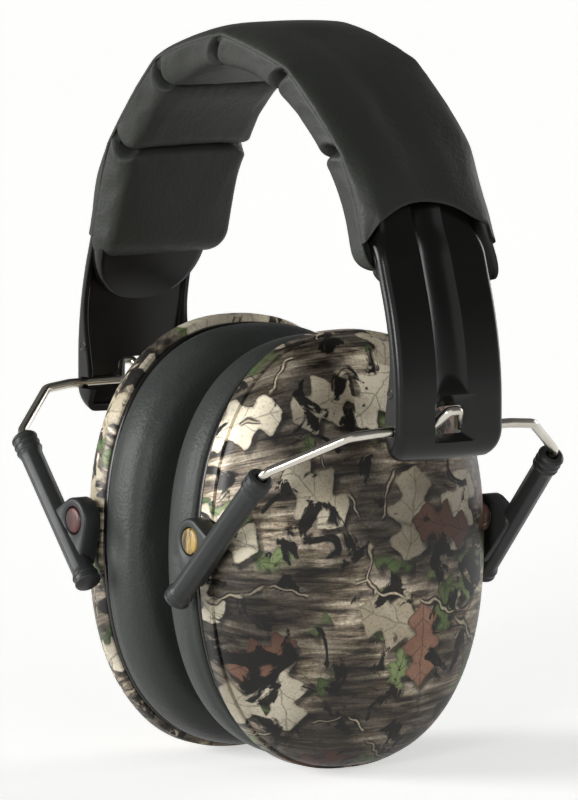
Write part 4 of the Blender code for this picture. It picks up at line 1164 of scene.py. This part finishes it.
def bent_wire_tree():
    """A round wire along a line of points."""
    sizes = (("Wire radius", "NodeSocketFloat"), ("Sides", "NodeSocketInt"), ("Finish", "NodeSocketMaterial"))
    tree, given, out = node_tree("bent_wire", sizes)
    line = add(tree, "GeometryNodeMeshToCurve", {"Mesh": given.outputs["Geometry"]}).outputs["Curve"]
    ring = ring_curve(tree, given.outputs["Sides"], given.outputs["Wire radius"])
    inputs = {"Curve": line, "Profile Curve": ring, "Fill Caps": True}
    return send_out(tree, given, out, add(tree, "GeometryNodeCurveToMesh", inputs).outputs["Mesh"])


def collar_tree():
    """A rounded ring round the sleeve's axis at each point, turned by the point's own rotation."""
    sizes = (
        ("Ring radius", "NodeSocketFloat"),
        ("Ring thickness", "NodeSocketFloat"),
        ("Sides", "NodeSocketInt"),
        ("Finish", "NodeSocketMaterial"),
    )
    tree, given, out = node_tree("collar_ridges", sizes)
    hoop = ring_curve(tree, given.outputs["Sides"], given.outputs["Ring radius"])
    bead = ring_curve(tree, 10, given.outputs["Ring thickness"])
    ring = add(tree, "GeometryNodeCurveToMesh", {"Curve": hoop, "Profile Curve": bead}).outputs["Mesh"]
    turn = add(tree, "GeometryNodeInputNamedAttribute", {"Name": "turn"}, data_type="FLOAT_VECTOR")
    spin = add(tree, "FunctionNodeEulerToRotation", {"Euler": turn.outputs["Attribute"]}).outputs["Rotation"]
    inputs = {"Points": given.outputs["Geometry"], "Instance": ring, "Rotation": spin}
    return send_out(tree, given, out, add(tree, "GeometryNodeInstanceOnPoints", inputs).outputs["Instances"])


def grown(name, mesh, tree, sizes):
    """Run a Geometry Nodes tree on a mesh and keep the result as a plain, smooth mesh."""
    made = placed(name, mesh)
    step = made.modifiers.new(tree.name, "NODES")
    step.node_group = tree
    for item in tree.interface.items_tree:
        if item.in_out == "INPUT" and item.name in sizes:
            step[item.identifier] = sizes[item.name]
    settled(made)
    data = bmesh.new()
    data.from_mesh(made.data)
    bmesh.ops.remove_doubles(data, verts=data.verts, dist=1e-7)
    data.normal_update()
    bmesh.ops.recalc_face_normals(data, faces=data.faces)
    data.to_mesh(made.data)
    data.free()
    shaded(made.data, 50.0)
    return made


def make_yoke(side, word, tree, finish):
    seat = wire_crossing()
    seat.x *= side
    leg = SLEEVE_LENGTH - SLEEVE_FLOOR - GAP
    down = leg_direction(side, 1)
    half = [
        (seat + Vector((side * WIRE_HUMP_OUT, 0.5 * WIRE_HUMP_TOP, WIRE_HUMP)), WIRE_HUMP_BEND),
        (seat + Vector((0.0, 0.5 * WIRE_HUMP_FOOT, 0.0)), WIRE_HUMP_BEND),
        (seat + Vector((0.0, 0.5 * ARM_WIDTH + WIRE_BEND, 0.0)), WIRE_BEND),
        (seat + Vector((-side * WIRE_RADIUS, YOKE_HALF_SPAN, -0.6 * WIRE_RADIUS)), WIRE_BEND),
        (sleeve_mouth(side, 1) - down * 0.4 * WIRE_BEND, WIRE_BEND),
        (sleeve_mouth(side, 1) + down * leg, 0.0),
    ]
    corners = [(Vector((p.x, -p.y, p.z)), radius) for p, radius in reversed(half)] + half
    points = rounded_route(corners, 10)
    mesh = bpy.data.meshes.new(f"{word}_wire_yoke")
    mesh.from_pydata(points, [(i, i + 1) for i in range(len(points) - 1)], [])
    sizes = {"Wire radius": WIRE_RADIUS, "Sides": 24, "Finish": finish}
    return grown(f"{word}_wire_yoke", mesh, tree, sizes)


# Sleeves


def sleeve_matrix(side, end):
    lean = Matrix.Rotation(side * LEG_LEAN, 4, "Y")
    splay = Matrix.Rotation(end * LEG_SPLAY, 4, "X")
    return Matrix.Translation(sleeve_mouth(side, end)) @ lean @ splay


def hull_reach(circles, origin, turn):
    """How far the convex outline round circles reaches from an origin in one direction."""
    best = 1.0
    for k in range(180):
        normal = math.tau * k / 180
        facing = math.cos(normal - turn)
        if facing < 0.02:
            continue
        support = max(
            (x - origin[0]) * math.cos(normal) + (z - origin[1]) * math.sin(normal) + radius
            for x, z, radius in circles
        )
        best = min(best, support / facing)
    return best


def sleeve_ear(side, end, data):
    """Flat ear with a round hole for the cup's trunnion, its edges rounded."""
    pivot = pivot_point(side)
    foot = sleeve_mouth(side, end) + leg_direction(side, end) * EAR_TAPER_END
    shoulder = sleeve_mouth(side, end) + leg_direction(side, end) * (PIVOT_ALONG - EAR_RADIUS)
    inset = 0.6 * SLEEVE_RADIUS
    circles = (
        (pivot.x, pivot.z, EAR_RADIUS),
        (foot.x, foot.z, inset),
        (shoulder.x, shoulder.z, inset),
    )
    outside = end * EAR_OUTSIDE
    inside = outside - end * EAR_THICKNESS
    lip = 0.0006 * end
    hole = TRUNNION_RADIUS + GAP
    turns = circle_turns(96)
    reach = [hull_reach(circles, (pivot.x, pivot.z), turn) for turn in turns]
    levels = (
        (inside, 0.0006, 0.0), (inside + 0.3 * lip, 0.0002, 0.0), (inside + lip, 0.0, 0.0),
        (outside - lip, 0.0, 0.0), (outside - 0.3 * lip, 0.0002, 0.0), (outside, 0.0006, 0.0),
        (outside, 0.0, hole + 0.0004), (outside - 0.5 * lip, 0.0, hole), (inside, 0.0, hole),
    )
    rows = []
    for y, trim, fixed in levels:
        row = []
        for turn, far in zip(turns, reach):
            radius = fixed or far - trim
            point = (pivot.x + radius * math.cos(turn), y, pivot.z + radius * math.sin(turn))
            row.append(data.verts.new(point))
        rows.append(row)
    walls(data, rows, True)


def sleeve_barrel(side, end, data):
    """Turned barrel of a sleeve with an open mouth, slightly waisted between its collars."""
    core = COLLAR_RADIUS - 0.00022
    bore = WIRE_RADIUS + 0.0003
    low = -SLEEVE_LENGTH
    top_end = -RIDGES_TOP * COLLAR_RIDGE
    foot_end = low + RIDGES_END * COLLAR_RIDGE
    inner_end = -0.0040
    profile = [
        (bore, inner_end), (bore, -0.0004), (bore + 0.0003, 0.0), (core - 0.0006, 0.0),
        (core - 0.0002, -0.0002), (core, -0.0007), (core, top_end + 0.0003), (core - 0.0002, top_end - 0.0002),
        (SLEEVE_RADIUS, top_end - 0.0011), (SLEEVE_RADIUS, 0.5 * (top_end + foot_end)),
        (SLEEVE_RADIUS, foot_end + 0.0011), (core - 0.0002, foot_end + 0.0002), (core, foot_end - 0.0003),
        (core, low + 0.0010), (core - 0.0003, low + 0.0004), (core - 0.0009, low),
    ]
    place = sleeve_matrix(side, end)
    rows = []
    for radius, z in profile:
        row = []
        for turn in circle_turns(COLLAR_SIDES):
            ribbed = radius * (1.0 - 0.05 * abs(math.sin(4.0 * turn)) if radius == SLEEVE_RADIUS else 1.0)
            row.append(data.verts.new(place @ Vector((ribbed * math.cos(turn), ribbed * math.sin(turn), z))))
        rows.append(row)
    walls(data, rows)
    fan(data, rows[-1], place @ Vector((0.0, 0.0, low)))
    fan(data, rows[0], place @ Vector((0.0, 0.0, inner_end)))


def make_sleeve(side, word, end, finish):
    data = bmesh.new()
    sleeve_barrel(side, end, data)
    sleeve_ear(side, end, data)
    end_word = "rear" if end > 0 else "front"
    return finished(f"{word}_{end_word}_height_sleeve", data, finish, 42.0)


def make_collars(side, word, tree, finish):
    """The moulded ridges on both sleeves of one cup."""
    points = []
    turns = []
    for end in (-1, 1):
        place = sleeve_matrix(side, end)
        depths = [(k + 0.5) * COLLAR_RIDGE for k in range(RIDGES_TOP)]
        depths += [SLEEVE_LENGTH - (k + 0.5) * COLLAR_RIDGE for k in range(RIDGES_END)]
        for depth in depths:
            points.append(place @ Vector((0.0, 0.0, -depth)))
            turns.append(place.to_euler())
    mesh = bpy.data.meshes.new(f"{word}_collar_ridges")
    mesh.from_pydata(points, [], [])
    turn = mesh.attributes.new("turn", "FLOAT_VECTOR", "POINT")
    for item, euler in zip(turn.data, turns):
        item.vector = euler
    thick = COLLAR_BEAD
    sizes = {
        "Ring radius": COLLAR_RADIUS - thick,
        "Ring thickness": thick,
        "Sides": COLLAR_SIDES,
        "Finish": finish,
    }
    return grown(f"{word}_collar_ridges", mesh, tree, sizes)


# Ear cups


def cup_middle():
    """Height of the middle of a cup."""
    return pivot_point(1).z - CUP_DROP


def oval(side, x, half_width, half_height, count=OVAL_POINTS):
    """Points of the cup's oval at a distance x from the middle of the head, at near-equal steps."""
    fine = []
    for k in range(8 * count + 1):
        turn = math.tau * k / (8 * count)
        y = math.copysign(abs(math.cos(turn)) ** (2.0 / OVAL_POWER), math.cos(turn))
        z = math.copysign(abs(math.sin(turn)) ** (2.0 / OVAL_POWER), math.sin(turn))
        fine.append((half_width * y, half_height * z))
    ring = even(fine, count + 1)[:-1]
    return [Vector((side * x, y, cup_middle() + z)) for y, z in ring]


def rim_plane():
    return pivot_point(1).x - RIM_INSIDE_PIVOT


def shell_rows(inset):
    """Rows of the shell from the rim to near the crown, as (x, half width, half height)."""
    rim = rim_plane()
    wide = 0.5 * CUP_WIDTH - SHELL_SLIM - inset
    tall = 0.5 * CUP_HEIGHT - inset
    base = rim + RIM_BAND
    dome = SHELL_DEPTH - RIM_BAND - inset
    step = RIM_STEP if inset == 0.0 else 0.0
    rows = [(rim, wide, tall)]
    if inset == 0.0:
        rows = [(rim, wide - RIM_EDGE, tall - RIM_EDGE), (rim + RIM_EDGE, wide, tall)]
        rows += [(base - back, wide - trim, tall - trim) for back, trim in RIM_GROOVE]
    last = 40 if inset == 0.0 else 16
    for k in range(last):
        turn = math.radians(88.0) * k / (last - 1)
        share = math.cos(turn) ** DOME_POWER
        rows.append((base + dome * math.sin(turn), (wide - step) * share, (tall - step) * share))
    return rows


def make_shell(side, word, finish, stud_finish):
    data = bmesh.new()
    for inset in (0.0, SHELL_WALL):
        rings = [[data.verts.new(p) for p in oval(side, *row)] for row in shell_rows(inset)]
        walls(data, rings)
        fan(data, rings[-1], (side * (rim_plane() + SHELL_DEPTH - inset), 0.0, cup_middle()))
        if inset == 0.0:
            rim = rings[0]
        else:
            walls(data, [rim, rings[0]])
    shell = finished(f"{word}_printed_shell", data, finish, 50.0)
    shell.data.materials.append(stud_finish)
    studs = bmesh.new()
    studs.from_mesh(shell.data)
    for end in (-1, 1):
        trunnion(studs, side, end)
    studs.to_mesh(shell.data)
    studs.free()
    return shell


def trunnion(data, side, end):
    """Turned stud that the cup tilts on, with a collar against the shell and a slightly crowned end."""
    pivot = pivot_point(side)
    root = 0.5 * CUP_WIDTH - RIM_STEP - 0.7 * SHELL_WALL
    seat = EAR_OUTSIDE - EAR_THICKNESS - GAP
    collar = RIM_INSIDE_PIVOT - GAP
    radius = TRUNNION_RADIUS
    profile = [
        (collar, root), (collar, seat - 0.0003), (collar - 0.0003, seat), (radius, seat),
        (radius, EAR_OUTSIDE - 0.0005), (radius - 0.0002, EAR_OUTSIDE - 0.00012),
        (radius - 0.0006, EAR_OUTSIDE), (0.5 * radius, EAR_OUTSIDE + 0.00008),
    ]
    count = 48
    rows = []
    for r, y in profile:
        row = []
        for turn in circle_turns(count):
            row.append(data.verts.new((pivot.x + r * math.cos(turn), end * y, pivot.z + r * math.sin(turn))))
        rows.append(row)
    made = walls(data, rows)
    made += fan(data, rows[-1], (pivot.x, end * (EAR_OUTSIDE + 0.0001), pivot.z))
    for face in made[3 * count :]:
        face.material_index = 1
    made += fan(data, rows[0], (pivot.x, end * root, pivot.z))
    for face in made:
        face.smooth = True
    data.normal_update()
    bmesh.ops.recalc_face_normals(data, faces=made)


def make_plate(side, word, finish):
    """Ring that the cushion is welded to. It is pressed tight between the shell's rim and the cushion."""
    back = rim_plane() + PLATE_BITE
    face = rim_plane() - PLATE_THICKNESS - 2.0 * GAP - PLATE_BITE
    wide = 0.5 * CUP_WIDTH - PLATE_INSET
    tall = 0.5 * CUP_HEIGHT - CUSHION_SHORT - GAP
    lip = 0.0003
    levels = ((back, lip), (back - lip, 0.0), (face + lip, 0.0), (face, lip))
    rows = [(x, wide - trim, tall - trim) for x, trim in levels]
    rows += [(x, wide - PLATE_WIDTH + trim, tall - PLATE_WIDTH + trim) for x, trim in reversed(levels)]
    return finished(f"{word}_cushion_ring_plate", skin([oval(side, *row) for row in rows], True), finish, 50.0)


def cushion_line():
    """Section of the cushion as (depth from its back, distance in from its widest outline)."""
    wide = CUSHION_WIDTH
    points = [
        (0.0, CUSHION_BULGE + 0.0010), (0.05, CUSHION_BULGE), (0.25, 0.0), (0.40, 0.0), (0.55, 0.012 * wide),
        (0.68, 0.035 * wide), (0.78, 0.07 * wide), (0.87, 0.125 * wide), (0.94, 0.20 * wide), (0.985, 0.30 * wide),
        (1.0, 0.42 * wide), (1.0, 0.60 * wide), (0.985, 0.70 * wide), (0.94, 0.80 * wide), (0.87, 0.88 * wide),
        (0.75, 0.94 * wide), (0.60, 0.975 * wide), (0.35, 0.995 * wide), (0.05, wide), (0.0, wide - 0.0010),
    ]
    smooth = []
    for index in range(len(points) - 1):
        before = points[max(0, index - 1)]
        a, b = points[index], points[index + 1]
        after = points[min(len(points) - 1, index + 2)]
        for k in range(6):
            t = k / 6.0
            smooth.append(tuple(
                0.5 * (2 * q + (r - p) * t + (2 * p - 5 * q + 4 * r - s) * t * t + (3 * q - p - 3 * r + s) * t**3)
                for p, q, r, s in zip(before, a, b, after)
            ))
    smooth.append(points[-1])
    return even([(share * CUSHION_DEPTH, q) for share, q in smooth], 34)


def make_cushion(side, word, finish):
    """Foam-filled ring: the skin is welded to its plate at the back and swells between its two edges."""
    back = rim_plane() - PLATE_THICKNESS - 2.0 * GAP
    wide = 0.5 * CUP_WIDTH + CUSHION_BULGE
    tall = 0.5 * CUP_HEIGHT - CUSHION_SHORT
    line = [(depth - 0.0002, q + 0.0003) if depth > 0.001 else (depth, q) for depth, q in cushion_line()]
    closing = [(0.0, CUSHION_WIDTH * f) for f in (0.8, 0.6, 0.4, 0.2)]
    section = line + closing
    count = 132
    rows = [oval(side, back - max(0.0, depth), wide - q, tall - q, count) for depth, q in section]
    cushion = finished(f"{word}_padded_cushion", skin(rows, True), finish, 80.0)
    held = []
    for index in range(len(section)):
        grip = 1.0 if index < 3 or index > len(line) - 4 else 0.0
        held += [grip] * count
    fill_with_foam(cushion, held, *CUSHION_FILLING)
    return refined(cushion)


def make_liner(side, word, finish):
    """Sound-absorbing foam pad in the crown of the shell, its face gently uneven."""
    rows = shell_rows(SHELL_WALL + GAP)
    front = rows[-1][0] - LINER_THICKNESS
    kept = [row for row in rows if row[0] > front]
    below = [row for row in rows if row[0] <= front][-1]
    share = (front - below[0]) / (kept[0][0] - below[0])
    edge = tuple(low + share * (high - low) for low, high in zip(below, kept[0]))
    data = bmesh.new()
    face = [(edge[0], edge[1] * f, edge[2] * f) for f in (0.08, 0.2, 0.35, 0.5, 0.65, 0.8, 0.9)]
    rings = []
    for row in face + [edge] + kept:
        ring = oval(side, *row)
        if row in face:
            for point in ring:
                point.x += side * 0.0007 * (0.5 + 0.5 * noise.noise(point / 0.006))
        rings.append([data.verts.new(p) for p in ring])
    walls(data, rings)
    fan(data, rings[0], (side * (edge[0] + 0.0003), 0.0, cup_middle()))
    fan(data, rings[-1], (side * kept[-1][0], 0.0, cup_middle()))
    return finished(f"{word}_foam_liner", data, finish, 50.0)


# Stage


def make_floor(level):
    """Pale studio floor that keeps the object's shadow and throws back little light from below."""
    made, tree, shader, place = new_finish("pale_floor_paint")
    pale = blend(tree, clouds(tree, place, 2.0, 2.0), linear("#f7f7f6"), linear("#fbfbfa"))
    path = add(tree, "ShaderNodeLightPath").outputs
    seen = maths(tree, "MAXIMUM", path["Is Camera Ray"], path["Is Glossy Ray"])
    seen = maths(tree, "MAXIMUM", seen, path["Is Transmission Ray"])
    feed(tree, shader, {
        "Base Color": blend(tree, seen, linear("#7c7c7b"), pale),
        "Roughness": 0.9,
        "Specular IOR Level": 0.1,
        "Emission Color": linear("#fbfbfa"),
        "Emission Strength": maths(tree, "MULTIPLY", seen, 0.52),
    })
    data = bmesh.new()
    bmesh.ops.create_circle(data, cap_ends=True, segments=96, radius=9.0)
    floor = finished("studio_floor", data, made)
    floor.location.z = level


def make_lights():
    """A pale backdrop low down all round, a darker ceiling, three soft lamps and a small one for the edges."""
    world = bpy.data.worlds.new("studio_world")
    bpy.context.scene.world = world
    world.use_nodes = True
    tree = world.node_tree
    way = add(tree, "ShaderNodeTexCoord").outputs["Generated"]
    up = add(tree, "ShaderNodeSeparateXYZ", {"Vector": way}).outputs["Z"]
    level = add(tree, "ShaderNodeMapRange", {"Value": up, 1: 0.08, 2: 0.34, 3: 0.42, 4: 0.14}).outputs["Result"]
    feed(tree, tree.nodes["Background"], {"Color": (1.0, 1.0, 1.0, 1.0), "Strength": level})
    for name, (strength, angle, azimuth, elevation) in LAMPS.items():
        lamp = bpy.data.lights.new(name, "SUN")
        lamp.energy = strength
        lamp.angle = math.radians(angle)
        made = placed(name, lamp)
        made.rotation_euler = Euler((math.radians(90.0 - elevation), 0.0, math.radians(azimuth)))


def make_camera():
    """Long lens at the photograph's viewing angle."""
    level = math.cos(VIEW_ELEVATION)
    away = Vector((math.sin(VIEW_AZIMUTH) * level, -math.cos(VIEW_AZIMUTH) * level, math.sin(VIEW_ELEVATION)))
    lens = bpy.data.cameras.new("photo_view")
    lens.lens = VIEW_LENS
    lens.sensor_width = 36.0
    lens.shift_x, lens.shift_y = VIEW_SHIFT
    lens.clip_end = 50.0
    made = placed("photo_view", lens)
    made.location = VIEW_CENTRE + VIEW_DISTANCE * away
    made.rotation_euler = away.to_track_quat("Z", "Y").to_euler()
    bpy.context.scene.camera = made


def dress(piece, body, slot, *nodes):
    """Hang a finished piece on its body in place of its CAD nodes."""
    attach(piece, body)
    if nodes:
        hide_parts(*nodes)
    return piece


def main():
    bpy.context.scene.view_settings.view_transform = "Standard"
    pad_skin = leatherette("charcoal_pvc_leatherette", "#2b2d29", "#363833", 0.9, 0.50)
    cushion_skin = leatherette("grey_pvc_cushion_skin", "#2f3230", "#3b3e3b", 0.8, 0.46)
    nylon = moulded("black_glossy_nylon", "#0d0c0b", "#141311", 0.24, 0.35, 0.08, 0.31)
    acetal = moulded("grey_matt_acetal", "#282a29", "#323533", 0.42, 0.40, 0.18, 0.34)
    wire = nickel_wire("bright_nickel_plated_wire")
    # The darker foam colour is painted shade at the middle of each pore.
    foam = foam_finish("open_cell_polyurethane_foam", "#1f1f1f", "#3a3a39")
    print_film = camouflage("woodland_print_on_abs", 0.42)
    straw = printed_stud("straw_stud_print", "#3d3018", "#b99a55")
    russet = printed_stud("russet_stud_print", "#2e1210", "#5f2a24")

    pad = dress(make_pad(pad_skin), "headband", "leatherette", "headband_pad", "headband_foam")
    cover = dress(make_cover(pad_skin), "headband", "leatherette", "headband_cover")
    dress(make_band(nylon), "headband", "black_plastic", "headband_band")
    wires = bent_wire_tree()
    collars = collar_tree()
    for side, word in SIDES:
        dress(make_arm(side, word, nylon), f"{word}_arm", "black_plastic", f"{word}_arm")
        dress(make_yoke(side, word, wires, wire), f"{word}_yoke", "steel", f"{word}_yoke")
        for end, end_word in ((-1, "front"), (1, "rear")):
            sleeve = make_sleeve(side, word, end, acetal)
            dress(sleeve, f"{word}_slider", "grey_plastic", f"{word}_{end_word}_sleeve")
        dress(make_collars(side, word, collars, acetal), f"{word}_slider", "grey_plastic")
        stud = straw if side > 0 else russet
        dress(make_shell(side, word, print_film, stud), f"{word}_cup", "camouflage", f"{word}_cup_shell")
        dress(make_plate(side, word, nylon), f"{word}_cup", "black_plastic", f"{word}_cushion_plate")
        cushion = make_cushion(side, word, cushion_skin)
        dress(cushion, f"{word}_cup", "leatherette", f"{word}_ear_cushion", f"{word}_cushion_foam")
        dress(make_liner(side, word, foam), f"{word}_cup", "foam", f"{word}_acoustic_liner")
        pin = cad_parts[f"{word}_hinge_pin"]
        for place in pin.material_slots:
            place.material = wire

    low, high = CAD_BOX
    make_floor(low[2] - 0.0005)
    make_lights()
    make_camera()


main()
